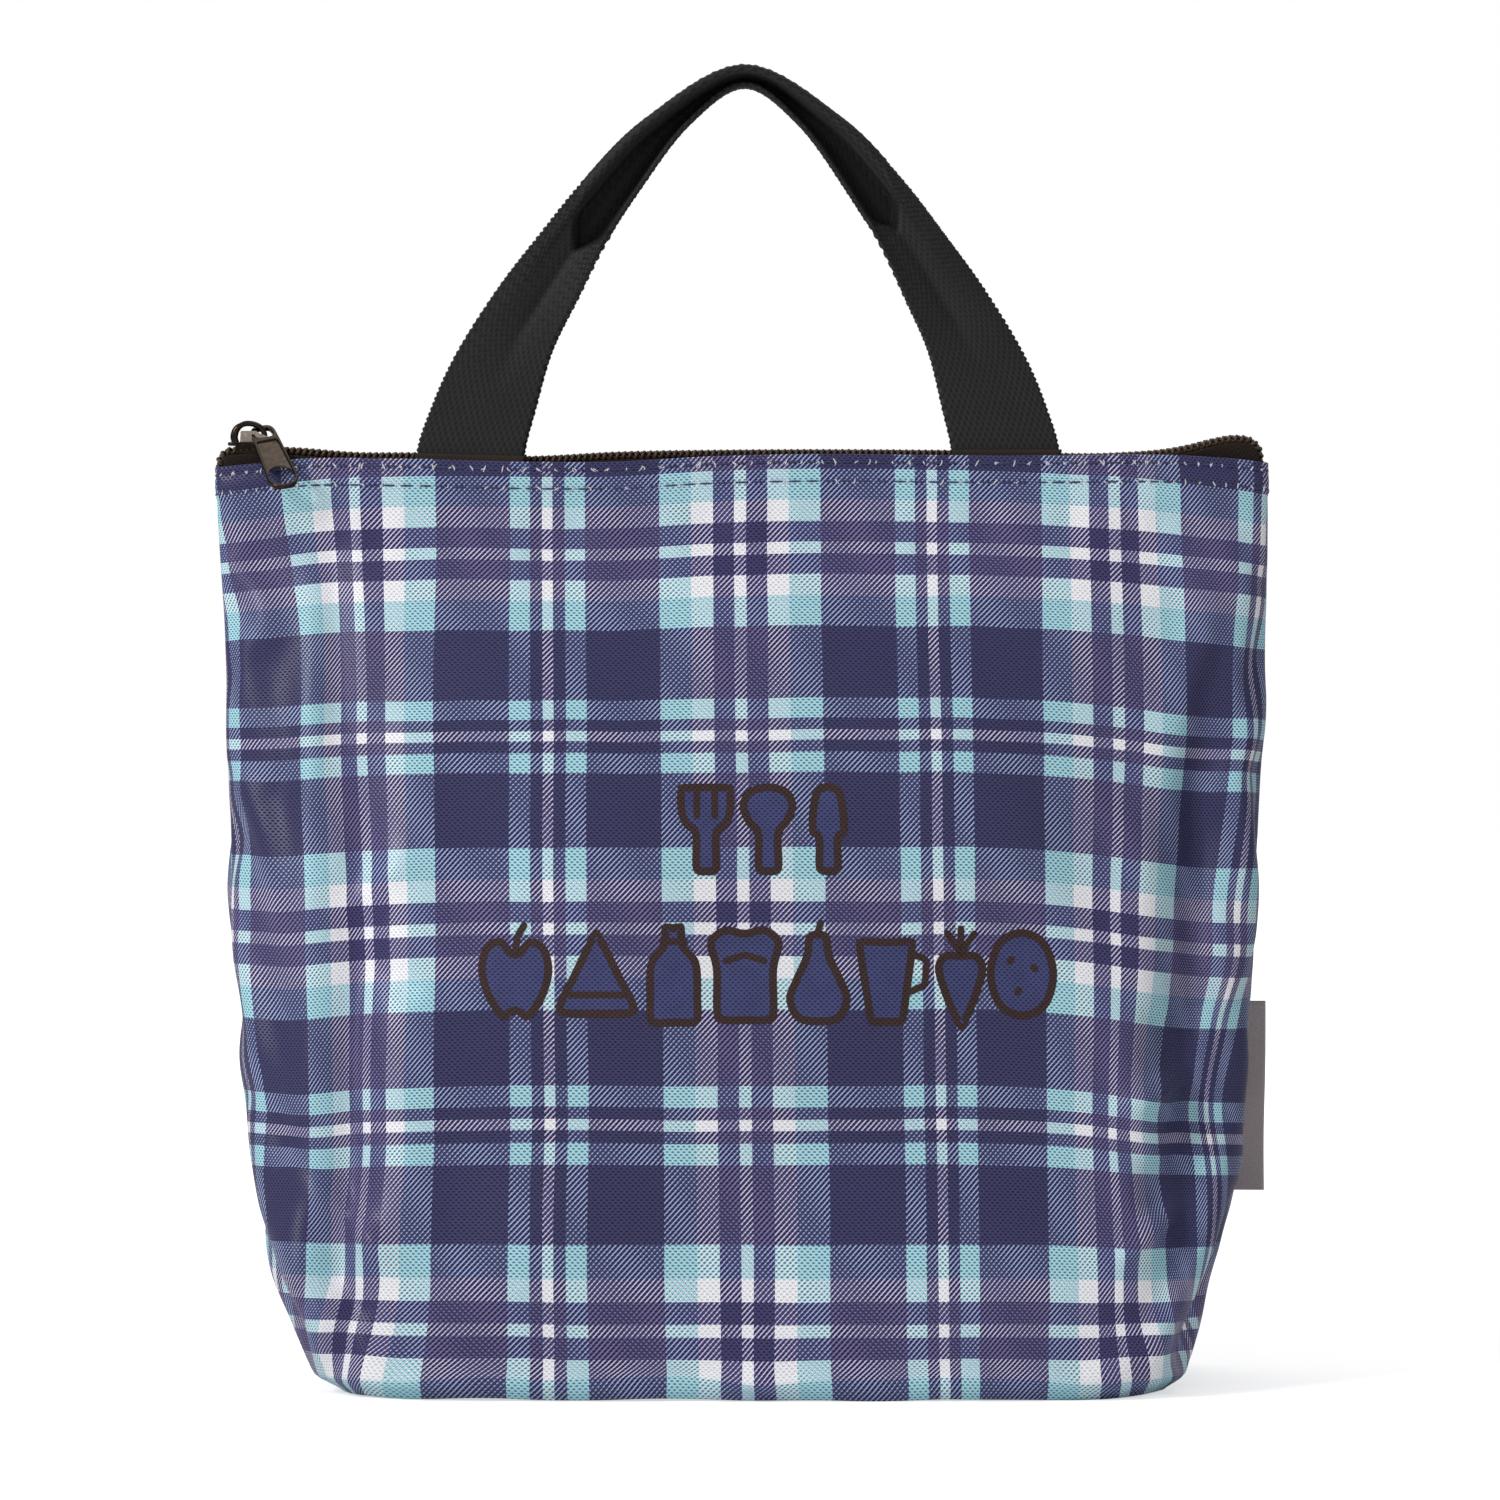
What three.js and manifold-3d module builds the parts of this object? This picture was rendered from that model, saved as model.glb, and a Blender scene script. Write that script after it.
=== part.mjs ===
// A soft insulated lunch tote: plaid shell, foam, lining, top zip and two webbing handles.
// Millimetres, +Z up, front towards -Y. The origin is the middle of the base, on the floor.
import * as THREE from "three";
import { mergeVertices } from "three/addons/utils/BufferGeometryUtils.js";
import Module from "manifold-3d";

const wasm = await Module();
wasm.setup();

// ---------- driving dimensions ----------
const HEM_Z = 226.5; // top edge of the fabric
const CLEAR = 0.3; // gap between neighbouring layers
const OUTER_THICK = 0.8;
const FOAM_THICK = 2.5;
const LINING_THICK = 0.4;
const FOAM_TOP_Z = 212;
const LINING_TOP_Z = 224;
const RING_POINTS = 56; // points round one horizontal section
const REACH = 400; // past every side of the bag, for boxes that cut
const OVERCUT = 5; // how far a cutting solid passes the edge it cuts

const STRAP_WIDTH = 25;
const STRAP_THICK = 1.2;
const STRAP_X = 66; // strap foot to the bag's middle
const STRAP_FOOT_Z = 233; // where the free strap starts, above the puller's path
const STRAP_END_Z = 212.5; // bottom of the sewn-in end
const FOOT_TAPE_THICK = 0.3;
const FOOT_TAPE_WIDTH = 26.4;
const FOOT_TAPE_TOP_Z = 227.1;

const TAPE_THICK = 0.5;
const TAPE_LID_Z = 226.9; // underside of the tape's flat part
const TAPE_EDGE_Y = 4.3;
const TAPE_INNER_Y = 1;
const TAPE_LENGTH = 252;
const SKIRT_THICK = 0.4;
const SKIRT_LENGTH = 224;
const SKIRT_DROP = 2.5;

const COIL_LENGTH = 252;
const COIL_OUTER_Y = 2.6;
const COIL_INNER_Y = 0.9;
const COIL_BASE_Z = 227.7;
const COIL_HEIGHT = 2.1;

const SLIDER_X = -121; // closed position of the slider's middle
const SLIDER_LENGTH = 11;
const SLIDER_HALF_WIDTH = 3.4;
const SLIDER_CORNER = 1.5;
const SLIDER_TOP_Z = 230.1;
const SLIDER_PLATE = 0.8;
const SLIDER_BOTTOM_Z = 225.3;
const FLANGE_THICK = 0.5;
const FLANGE_Z = 227.9;
const FLANGE_END_GAP = 1.5; // the flanges stop this far from the plates' ends
const POST_THICK = 1.1;
const POST_LENGTH = 4;
const POST_SINK = 0.2; // how far the post reaches into the lower plate
const CROWN_WIDTH = 8;
const CROWN_TOP_Z = 237;
const CROWN_BAR = 1.3;
const CROWN_THICK = 1.1;
const CROWN_CORNER = 2;

const PULLER_LENGTH = 26;
const PULLER_WIDTH = 7.4;
const PULLER_THICK = 1;
const PULLER_CORNER = 2.6;
const PULLER_EYE = { x: -116.6, z: 234.4, width: 5, height: 3.4, corner: 1.2, rim: 1.2 };
const PULLER_HOLE = { below: 7.5, x: 1.85, y: 3.4 }; // the oval hole near the free end
const PULLER_DROP_DEG = 36; // how far it hangs below level
const PULLER_LEAN_DEG = 23; // seen from the front, how far it leans to the right

const LABEL = { low: 47, high: 93.5, standOut: 3.6, thick: 0.6 };
const BINDING = { thick: 1, width: 6, low: 12, high: 205 };

const COLOURS = {
  plaid: 0x5a6488,
  foam: 0xe8e8e4,
  lining: 0xc9ccd0,
  tape: 0x2d2620,
  coil: 0x2a2320,
  metal: 0x59504a,
  webbing: 0x1c1c1c,
  footTape: 0x3f2a22,
  label: 0x878080,
  binding: 0x26262a,
};

// ---------- the bag's shape ----------
// Horizontal sections from base to hem: height, half width, half depth, squareness.
const SECTIONS = [
  [0, 101, 46.5, 5],
  [2.5, 105, 49, 5],
  [8, 108.5, 50, 4.8],
  [20, 113.3, 50, 4.4],
  [40, 118.3, 47.5, 3.8],
  [70, 122.9, 41.5, 3.2],
  [110, 125.6, 35, 2.8],
  [160, 127.8, 26, 2.8],
  [195, 128.5, 17.5, 3],
  [213, 128.9, 11, 4],
  [HEM_Z, 128.6, 7.5, 6],
];
const BASE_BLEND_Z = 30; // below this height an inner layer is lifted off the base
const LEAST_RISE = 1; // sections closer than this to a layer's top are left out

// One horizontal section at a height, by straight interpolation between the listed ones.
function sectionAt(z) {
  const last = SECTIONS.length - 1;
  if (z >= SECTIONS[last][0]) return SECTIONS[last].slice(1);
  const upper = Math.max(1, SECTIONS.findIndex((section) => section[0] >= z));
  const [low, high] = [SECTIONS[upper - 1], SECTIONS[upper]];
  const share = (z - low[0]) / (high[0] - low[0]);
  return [1, 2, 3].map((i) => THREE.MathUtils.lerp(low[i], high[i], share));
}

// A closed rounded outline at a height, moved in by `inset`.
function ring(z, inset, liftedZ = z) {
  const [halfWidth, halfDepth, squareness] = sectionAt(z);
  return Array.from({ length: RING_POINTS }, (_, i) => {
    const angle = (2 * Math.PI * i) / RING_POINTS;
    const [c, s] = [Math.cos(angle), Math.sin(angle)];
    const radius = (Math.abs(c) ** squareness + Math.abs(s) ** squareness) ** (-1 / squareness);
    return [(halfWidth - inset) * radius * c, (halfDepth - inset) * radius * s, liftedZ];
  });
}

// ---------- solids ----------
// A closed three.js geometry as a solid that can be joined and cut.
function solidOf(geometry) {
  const bare = geometry.clone().deleteAttribute("normal").deleteAttribute("uv");
  const merged = mergeVertices(bare, 1e-4);
  return new wasm.Manifold(
    new wasm.Mesh({
      numProp: 3,
      vertProperties: merged.attributes.position.array,
      triVerts: new Uint32Array(merged.index.array),
    }),
  );
}

function toGeometry(solid) {
  const { vertProperties, triVerts } = solid.getMesh();
  const geometry = new THREE.BufferGeometry()
    .setAttribute("position", new THREE.BufferAttribute(vertProperties, 3))
    .setIndex(new THREE.BufferAttribute(triVerts, 1))
    .toNonIndexed();
  geometry.computeVertexNormals();
  return geometry;
}

// A closed geometry through rings of equal point count, listed from bottom to top.
function loft(rings) {
  const count = rings[0].length;
  const points = rings.flat();
  const triangles = [];
  for (let r = 0; r + 1 < rings.length; r++) {
    for (let i = 0; i < count; i++) {
      const [a, b] = [r * count + i, r * count + ((i + 1) % count)];
      triangles.push(a, b, b + count, a, b + count, a + count);
    }
  }
  const capCentre = (cap) =>
    [0, 1, 2].map((k) => cap.reduce((sum, p) => sum + p[k], 0) / cap.length);
  const bottom = points.push(capCentre(rings[0])) - 1;
  const top = points.push(capCentre(rings[rings.length - 1])) - 1;
  const lastRing = (rings.length - 1) * count;
  for (let i = 0; i < count; i++) {
    const next = (i + 1) % count;
    triangles.push(bottom, next, i, top, lastRing + i, lastRing + next);
  }
  return new THREE.BufferGeometry()
    .setAttribute("position", new THREE.Float32BufferAttribute(points.flat(), 3))
    .setIndex(triangles);
}

function box(xRange, yRange, zRange) {
  const ranges = [xRange, yRange, zRange];
  const size = ranges.map(([low, high]) => high - low);
  const middle = ranges.map(([low, high]) => (high + low) / 2);
  return solidOf(new THREE.BoxGeometry(...size).translate(...middle));
}

// A flat shape given a thickness along +Z.
function slab(shape, depth) {
  return new THREE.ExtrudeGeometry(shape, { depth, bevelEnabled: false, curveSegments: 6 });
}

// Draws a rounded rectangle, centred at (0, y), on a Shape or a hole's Path.
function roundedRectangle(path, width, height, radius, y = 0) {
  const [x, top, bottom] = [width / 2 - radius, y + height / 2 - radius, y - height / 2 + radius];
  const quarter = Math.PI / 2;
  path.moveTo(x + radius, bottom);
  path.absarc(x, top, radius, 0, quarter);
  path.absarc(-x, top, radius, quarter, 2 * quarter);
  path.absarc(-x, bottom, radius, 2 * quarter, 3 * quarter);
  path.absarc(x, bottom, radius, 3 * quarter, 4 * quarter);
  return path;
}

// The space inside the bag's shape moved in by `inset`, from the base up to topZ.
function bagSolid(inset, topZ) {
  const heights = SECTIONS.map((section) => section[0]).filter((z) => z < topZ - LEAST_RISE);
  const lift = (z) => (z < BASE_BLEND_Z ? inset + z * (1 - inset / BASE_BLEND_Z) : z);
  const rings = heights.map((z) => ring(z, inset, lift(z)));
  rings.push(ring(topZ, inset));
  return solidOf(loft(rings));
}

// One open-topped layer of the bag between two insets.
function bagLayer(inset, thick, topZ) {
  return bagSolid(inset, topZ).subtract(bagSolid(inset + thick, topZ + OVERCUT));
}

// The front half of a layer, with half a gap to the rear one.
function frontHalf(solid) {
  return solid.intersect(box([-REACH, REACH], [-REACH, -CLEAR / 2], [-REACH, REACH]));
}

// ---------- assembly ----------
const tote = new THREE.Group();
const frontHalfGroup = new THREE.Group();
const rearHalfGroup = new THREE.Group();
rearHalfGroup.scale.y = -1; // the rear half mirrors the front one
tote.add(frontHalfGroup, rearHalfGroup);

const FABRIC_FINISH = { roughness: 0.9, metalness: 0 };
const METAL_FINISH = { roughness: 0.45, metalness: 0.9 };

function addMesh(name, geometry, color, finish = FABRIC_FINISH, parent = tote) {
  const mesh = new THREE.Mesh(geometry, new THREE.MeshStandardMaterial({ color, ...finish }));
  mesh.name = name;
  parent.add(mesh);
  return mesh;
}

// Adds a piece of the front half and its mirrored twin in the rear half.
function addPair(name, geometry, color, finish) {
  addMesh(`front_${name}`, geometry, color, finish, frontHalfGroup);
  addMesh(`rear_${name}`, geometry, color, finish, rearHalfGroup);
}

// ---------- outer panels, foam, lining, seam bindings ----------
const FOAM_INSET = OUTER_THICK + CLEAR;
const LINING_INSET = FOAM_INSET + FOAM_THICK + CLEAR;
const BINDING_INSET = LINING_INSET + LINING_THICK + CLEAR;

function addShells() {
  const outer = bagLayer(0, OUTER_THICK, HEM_Z);
  const foam = bagLayer(FOAM_INSET, FOAM_THICK, FOAM_TOP_Z);
  const lining = bagLayer(LINING_INSET, LINING_THICK, LINING_TOP_Z);
  addPair("panel", toGeometry(frontHalf(outer)), COLOURS.plaid);
  addPair("foam", toGeometry(frontHalf(foam)), COLOURS.foam);
  addPair("lining", toGeometry(frontHalf(lining)), COLOURS.lining, { roughness: 0.4, metalness: 0 });
}

function addBindings() {
  const layer = bagLayer(BINDING_INSET, BINDING.thick, BINDING.high + OVERCUT);
  const halfWidth = BINDING.width / 2;
  for (const [xRange, word] of [[[-REACH, 0], "left"], [[0, REACH], "right"]]) {
    const strip = layer.intersect(box(xRange, [-halfWidth, halfWidth], [BINDING.low, BINDING.high]));
    addMesh(`${word}_seam_binding`, toGeometry(strip), COLOURS.binding);
  }
}

// A small blank tag caught in the right side seam, its inner edge following the panel.
function addLabel() {
  const levels = [LABEL.low, (LABEL.low + LABEL.high) / 2, LABEL.high];
  const innerEdge = levels.map((z) => new THREE.Vector2(sectionAt(z)[0] + CLEAR, z));
  const outerEdge = innerEdge.map(({ x, y }) => new THREE.Vector2(x + LABEL.standOut, y)).reverse();
  const tag = slab(new THREE.Shape([...innerEdge, ...outerEdge]), LABEL.thick);
  tag.rotateX(Math.PI / 2).translate(0, LABEL.thick / 2, 0);
  addMesh("side_label", tag, COLOURS.label);
}

// ---------- sewn-in strap ends and the tapes over them ----------
const FOOT_TAPE_INSET = OUTER_THICK + CLEAR;
const STRAP_INSET = FOOT_TAPE_INSET + FOOT_TAPE_THICK + CLEAR;

function addStrapFeet() {
  const tapeLayer = bagLayer(FOOT_TAPE_INSET, FOOT_TAPE_THICK, FOOT_TAPE_TOP_Z);
  const endLayer = bagLayer(STRAP_INSET, STRAP_THICK, HEM_Z);
  for (const [x, word] of [[-STRAP_X, "left"], [STRAP_X, "right"]]) {
    const cutOut = (width) =>
      box([x - width / 2, x + width / 2], [-REACH, 0], [STRAP_END_Z, HEM_Z + OVERCUT]);
    const tape = tapeLayer.intersect(cutOut(FOOT_TAPE_WIDTH));
    const end = endLayer.intersect(cutOut(STRAP_WIDTH));
    addPair(`${word}_strap_foot_tape`, toGeometry(tape), COLOURS.footTape);
    addPair(`${word}_strap_end`, toGeometry(end), COLOURS.webbing);
  }
}

// ---------- handles ----------
// The strap seen from the front, from its foot to the top of the arch: outer edge and inner edge.
const OUTER_EDGE = [[78, 228], [70.2, 252], [57.4, 271], [43.5, 290.5], [25, 309.6], [0, 323.2]];
const INNER_EDGE = [[53.2, 228], [46.5, 252], [37.6, 271], [28.2, 288], [13.5, 308], [0, 317.2]];
const FOOT_Y = -5.2; // middle of the strap's thickness at the hem
const RIM_TOP_Y = -13.4; // the curled edges at the top of the arch
const FLAT_MARGIN = 0.5; // a half span this close to half the strap's width is flat
const CURL_MARGIN = 0.8; // the widest half span that curls falls this short of it
const CURL_START = 1 / 3; // share of a leg over which the curl reaches its full depth
const LEG_STATIONS = 18;
const ACROSS_POINTS = 12;

// One edge over the whole arch, from the right foot to the left.
function edgeCurve(points) {
  const leftLeg = points.slice(0, -1).reverse().map(([x, z]) => [-x, z]);
  return new THREE.CatmullRomCurve3([...points, ...leftLeg].map(([x, z]) => new THREE.Vector3(x, 0, z)));
}

// Depth of a half ellipse of the given half width whose length is the strap's width.
function curlDepth(halfWidth) {
  let [low, high] = [0, STRAP_WIDTH / 2];
  for (let i = 0; i < 30; i++) {
    const depth = (low + high) / 2;
    const root = Math.sqrt((3 * halfWidth + depth) * (halfWidth + 3 * depth));
    const length = (Math.PI / 2) * (3 * (halfWidth + depth) - root);
    if (length < STRAP_WIDTH) low = depth;
    else high = depth;
  }
  return low;
}

// Points across the middle of the strap's thickness at one station; rise is 0 at the foot, 1 at the top.
function strapRow(outer, inner, rise) {
  const middle = outer.clone().add(inner).multiplyScalar(0.5);
  const halfSpan = outer.clone().sub(inner).multiplyScalar(0.5);
  const isFlat = halfSpan.length() >= STRAP_WIDTH / 2 - FLAT_MARGIN;
  const curlSpan = Math.min(halfSpan.length(), STRAP_WIDTH / 2 - CURL_MARGIN);
  const depth = isFlat ? 0 : curlDepth(curlSpan) * Math.min(1, rise / CURL_START);
  const rimY = THREE.MathUtils.lerp(FOOT_Y, RIM_TOP_Y, rise);
  const centre = [];
  for (let i = 0; i <= ACROSS_POINTS; i++) {
    const angle = Math.PI * (i / ACROSS_POINTS);
    const point = middle.clone().addScaledVector(halfSpan, Math.cos(angle));
    point.y = rimY + depth * Math.sin(angle);
    centre.push(point);
  }
  return centre;
}

// Closed outline round the strap's thickness at one station.
function strapRing(row, along) {
  const front = [];
  const back = [];
  row.forEach((point, i) => {
    const across = row[Math.min(i + 1, row.length - 1)].clone().sub(row[Math.max(i - 1, 0)]);
    const normal = new THREE.Vector3().crossVectors(across, along).normalize();
    front.push(point.clone().addScaledVector(normal, STRAP_THICK / 2));
    back.push(point.clone().addScaledVector(normal, -STRAP_THICK / 2));
  });
  return [...front, ...back.reverse()].map((point) => point.toArray());
}

function strapGeometry() {
  const [outerCurve, innerCurve] = [edgeCurve(OUTER_EDGE), edgeCurve(INNER_EDGE)];
  const footShare = (STRAP_FOOT_Z - OUTER_EDGE[0][1]) / (OUTER_EDGE[1][1] - OUTER_EDGE[0][1]);
  const first = footShare / (2 * (OUTER_EDGE.length - 1));
  const legRows = [];
  for (let i = 0; i <= LEG_STATIONS; i++) {
    const rise = i / LEG_STATIONS;
    const t = THREE.MathUtils.lerp(first, 0.5, rise);
    legRows.push(strapRow(outerCurve.getPoint(t), innerCurve.getPoint(t), rise));
  }
  const mirrored = legRows.slice(0, -1).reverse();
  const flip = (row) => row.map((point) => new THREE.Vector3(-point.x, point.y, point.z));
  const rows = [...legRows, ...mirrored.map(flip)];
  const centre = (row) => row[0].clone().add(row[row.length - 1]).multiplyScalar(0.5);
  const rings = rows.map((row, i) => {
    const before = centre(rows[Math.max(i - 1, 0)]);
    const after = centre(rows[Math.min(i + 1, rows.length - 1)]);
    return strapRing(row, after.sub(before).normalize());
  });
  return loft(rings);
}

function addHandles() {
  addPair("handle_strap", strapGeometry(), COLOURS.webbing);
}

// ---------- zip ----------
function addZipSides() {
  const halfTape = TAPE_LENGTH / 2;
  const halfSkirt = SKIRT_LENGTH / 2;
  const lidTop = TAPE_LID_Z + TAPE_THICK;
  const lid = box([-halfTape, halfTape], [-TAPE_EDGE_Y, -TAPE_INNER_Y], [TAPE_LID_Z, lidTop]);
  const skirtY = [-TAPE_EDGE_Y, -TAPE_EDGE_Y + SKIRT_THICK];
  const skirt = box([-halfSkirt, halfSkirt], skirtY, [TAPE_LID_Z - SKIRT_DROP, lidTop]);
  addPair("zip_tape", toGeometry(lid.add(skirt)), COLOURS.tape);

  const coilRound = new THREE.Shape();
  coilRound.absellipse(0, 0, COIL_HEIGHT / 2, (COIL_OUTER_Y - COIL_INNER_Y) / 2, 0, 2 * Math.PI);
  const coil = slab(coilRound, COIL_LENGTH).rotateY(Math.PI / 2);
  const coilMiddleY = -(COIL_OUTER_Y + COIL_INNER_Y) / 2;
  coil.translate(-COIL_LENGTH / 2, coilMiddleY, COIL_BASE_Z + COIL_HEIGHT / 2);
  addPair("zip_coil", coil, COLOURS.coil, { roughness: 0.5, metalness: 0 });
}

// The arch that holds the puller, drawn from the front and standing on y = 0.
function crownShape(height) {
  const [x, corner] = [CROWN_WIDTH / 2 - CROWN_CORNER, CROWN_CORNER];
  const innerCorner = CROWN_CORNER - CROWN_BAR / 2;
  const innerX = CROWN_WIDTH / 2 - CROWN_BAR - innerCorner;
  const innerTop = height - CROWN_BAR - innerCorner;
  const quarter = Math.PI / 2;
  const shape = new THREE.Shape();
  shape.moveTo(x + corner, 0);
  shape.absarc(x, height - corner, corner, 0, quarter);
  shape.absarc(-x, height - corner, corner, quarter, 2 * quarter);
  shape.lineTo(-x - corner, 0);
  shape.lineTo(-innerX - innerCorner, 0);
  shape.absarc(-innerX, innerTop, innerCorner, 2 * quarter, quarter, true);
  shape.absarc(innerX, innerTop, innerCorner, quarter, 0, true);
  shape.lineTo(innerX + innerCorner, 0);
  return shape;
}

function addSlider() {
  const halfLength = SLIDER_LENGTH / 2;
  const width = 2 * SLIDER_HALF_WIDTH;
  const outline = roundedRectangle(new THREE.Shape(), SLIDER_LENGTH, width, SLIDER_CORNER);
  const plateAt = (z) => solidOf(slab(outline, SLIDER_PLATE).translate(0, 0, z));
  const halfPost = POST_THICK / 2;
  const underPlate = SLIDER_TOP_Z + SLIDER_PLATE / 2;
  const postZ = [SLIDER_BOTTOM_Z + POST_SINK, underPlate];
  const post = box([-POST_LENGTH, 0], [-halfPost, halfPost], postZ);
  const flangeX = [-halfLength + FLANGE_END_GAP, halfLength - FLANGE_END_GAP];
  const flangeY = [SLIDER_HALF_WIDTH - FLANGE_THICK, SLIDER_HALF_WIDTH];
  const rearFlange = box(flangeX, flangeY, [FLANGE_Z, underPlate]);
  const frontFlange = box(flangeX, [-flangeY[1], -flangeY[0]], [FLANGE_Z, underPlate]);
  const crown = slab(crownShape(CROWN_TOP_Z - underPlate), CROWN_THICK);
  crown.rotateX(Math.PI / 2).translate(0, CROWN_THICK / 2, underPlate);

  const pieces = [plateAt(SLIDER_BOTTOM_Z), post, rearFlange, frontFlange, solidOf(crown)];
  const body = pieces.reduce((joined, piece) => joined.add(piece), plateAt(SLIDER_TOP_Z));
  addMesh("slider_body", toGeometry(body), COLOURS.metal, METAL_FINISH).position.x = SLIDER_X;
}

// The puller is drawn flat round its eye, then laid over the front hem.
function addPuller() {
  const eyeTop = PULLER_EYE.height / 2 + PULLER_EYE.rim;
  const middle = eyeTop - PULLER_LENGTH / 2;
  const outline = roundedRectangle(new THREE.Shape(), PULLER_WIDTH, PULLER_LENGTH, PULLER_CORNER, middle);
  const lowerHole = new THREE.Path();
  lowerHole.absellipse(0, middle - PULLER_HOLE.below, PULLER_HOLE.x, PULLER_HOLE.y, 0, 2 * Math.PI);
  const { width, height, corner } = PULLER_EYE;
  const eye = roundedRectangle(new THREE.Path(), width, height, corner);
  outline.holes.push(eye, lowerHole);
  const tab = slab(outline, PULLER_THICK).translate(0, 0, -PULLER_THICK / 2);

  const drop = THREE.MathUtils.degToRad(PULLER_DROP_DEG);
  const lean = Math.tan(THREE.MathUtils.degToRad(PULLER_LEAN_DEG)) * Math.sin(drop);
  const down = new THREE.Vector3(lean, -Math.cos(drop), -Math.sin(drop)).normalize();
  const across = new THREE.Vector3(1, 0, 0).addScaledVector(down, -down.x).normalize();
  const up = down.clone().negate();
  const facing = new THREE.Vector3().crossVectors(across, up);
  const mesh = addMesh("zip_puller", tab, COLOURS.metal, METAL_FINISH);
  mesh.setRotationFromMatrix(new THREE.Matrix4().makeBasis(across, up, facing));
  mesh.position.set(PULLER_EYE.x, 0, PULLER_EYE.z);
}

addShells();
addBindings();
addLabel();
addStrapFeet();
addHandles();
addZipSides();
addSlider();
addPuller();

export default tote;
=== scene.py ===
"""Lunch tote, the looks: plaid shell, webbing handles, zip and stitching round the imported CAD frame.

Blender 4.5. Objects are in metres, front towards -Y and +Z up. Cloth is measured in millimetres:
u runs along a panel from its middle towards its side seams, and z is the height on the straight shape."""

import math
import random

import bmesh
import bpy
import numpy as np
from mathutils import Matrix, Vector, noise
from mathutils.bvhtree import BVHTree


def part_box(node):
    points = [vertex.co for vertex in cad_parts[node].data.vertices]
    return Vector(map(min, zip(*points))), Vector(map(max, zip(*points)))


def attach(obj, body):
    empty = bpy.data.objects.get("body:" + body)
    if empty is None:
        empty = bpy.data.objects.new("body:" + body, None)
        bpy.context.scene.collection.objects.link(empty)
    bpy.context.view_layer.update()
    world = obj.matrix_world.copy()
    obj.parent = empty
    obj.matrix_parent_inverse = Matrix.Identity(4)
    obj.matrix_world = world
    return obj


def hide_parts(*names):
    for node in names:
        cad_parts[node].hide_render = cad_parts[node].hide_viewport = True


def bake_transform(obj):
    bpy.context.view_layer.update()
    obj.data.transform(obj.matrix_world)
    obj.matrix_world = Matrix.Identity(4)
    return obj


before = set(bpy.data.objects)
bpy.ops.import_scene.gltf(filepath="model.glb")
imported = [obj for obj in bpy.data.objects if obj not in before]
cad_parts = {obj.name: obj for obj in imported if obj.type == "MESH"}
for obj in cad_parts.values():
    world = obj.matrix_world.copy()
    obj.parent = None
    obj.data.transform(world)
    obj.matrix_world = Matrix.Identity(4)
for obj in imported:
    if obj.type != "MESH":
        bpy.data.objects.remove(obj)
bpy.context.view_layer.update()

MM = 0.001
FRONT, REAR = -1, 1
SIDES = ((FRONT, "front"), (REAR, "rear"))


# ---------- number helpers
def ease(x, start, end):
    """0 before start, 1 after end, smooth between."""
    t = np.clip((x - start) / (end - start), 0, 1)
    return t * t * (3 - 2 * t)


def bell(x, middle, width):
    return np.exp(-(((x - middle) / width) ** 2))


def smooth_curve(x, points):
    """The height at x of a smooth curve through points (x, height)."""
    xs, ys = np.array(points, float).T
    slope = np.gradient(ys, xs)
    i = np.clip(np.searchsorted(xs, x) - 1, 0, len(xs) - 2)
    width = xs[i + 1] - xs[i]
    t = np.clip((x - xs[i]) / width, 0, 1)
    pull = t * (1 - t) * ((1 - t) * slope[i] - t * slope[i + 1]) * width
    return ys[i] + (ys[i + 1] - ys[i]) * t * t * (3 - 2 * t) + pull


def path_lengths(points):
    """Distance along a path at each of its points."""
    return np.concatenate([[0], np.cumsum(np.linalg.norm(np.diff(points, axis=0), axis=1))])


def smooth_path(knots, points, steps):
    """Points at steps of a smooth path that passes each of points at its knot."""
    return np.stack([smooth_curve(steps, np.stack([knots, part], 1)) for part in np.transpose(points)], 1)


def wander(u, z, size, seed):
    """Smooth seeded noise from about -1 to 1 at each point, with features of the given size in mm."""
    flat = [noise.noise(Vector((p / size, q / (1.25 * size), seed))) for p, q in zip(u.ravel(), z.ravel())]
    return np.reshape(flat, u.shape) * 1.6


# ---------- mesh helpers
def new_object(name, vertices, faces, material, uv=None):
    """A smooth mesh object from points in mm; uv holds one pair for each vertex."""
    mesh = bpy.data.meshes.new(name)
    mesh.from_pydata((np.asarray(vertices, float) * MM).tolist(), [], [tuple(face) for face in faces])
    if uv is not None:
        layer = mesh.uv_layers.new(name="cloth")
        corners = np.zeros(len(mesh.loops), int)
        mesh.loops.foreach_get("vertex_index", corners)
        layer.data.foreach_set("uv", np.asarray(uv, float)[corners].astype(np.float32).ravel())
    mesh.polygons.foreach_set("use_smooth", [True] * len(mesh.polygons))
    mesh.materials.append(material)
    obj = bpy.data.objects.new(name, mesh)
    bpy.context.scene.collection.objects.link(obj)
    return obj


def grid_faces(rows, columns, wrap=False, flip=False):
    """Faces between the points of a grid, one row after another; flip turns them over."""
    faces = []
    for r in range(rows - 1):
        for c in range(columns if wrap else columns - 1):
            a, b = r * columns + c, r * columns + (c + 1) % columns
            faces.append((a, b, b + columns, a + columns))
    return [face[::-1] for face in faces] if flip else faces


def joined(*parts):
    """Points on a grid from each coordinate's own values, all widened to the same grid."""
    return np.stack(np.broadcast_arrays(*parts), -1)


def modify(obj, kind, **settings):
    """Adds a modifier and applies it."""
    modifier = obj.modifiers.new(kind.lower(), kind)
    for key, value in settings.items():
        setattr(modifier, key, value)
    with bpy.context.temp_override(object=obj, active_object=obj, selected_objects=[obj]):
        bpy.ops.object.modifier_apply(modifier=modifier.name)
    return obj


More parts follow.
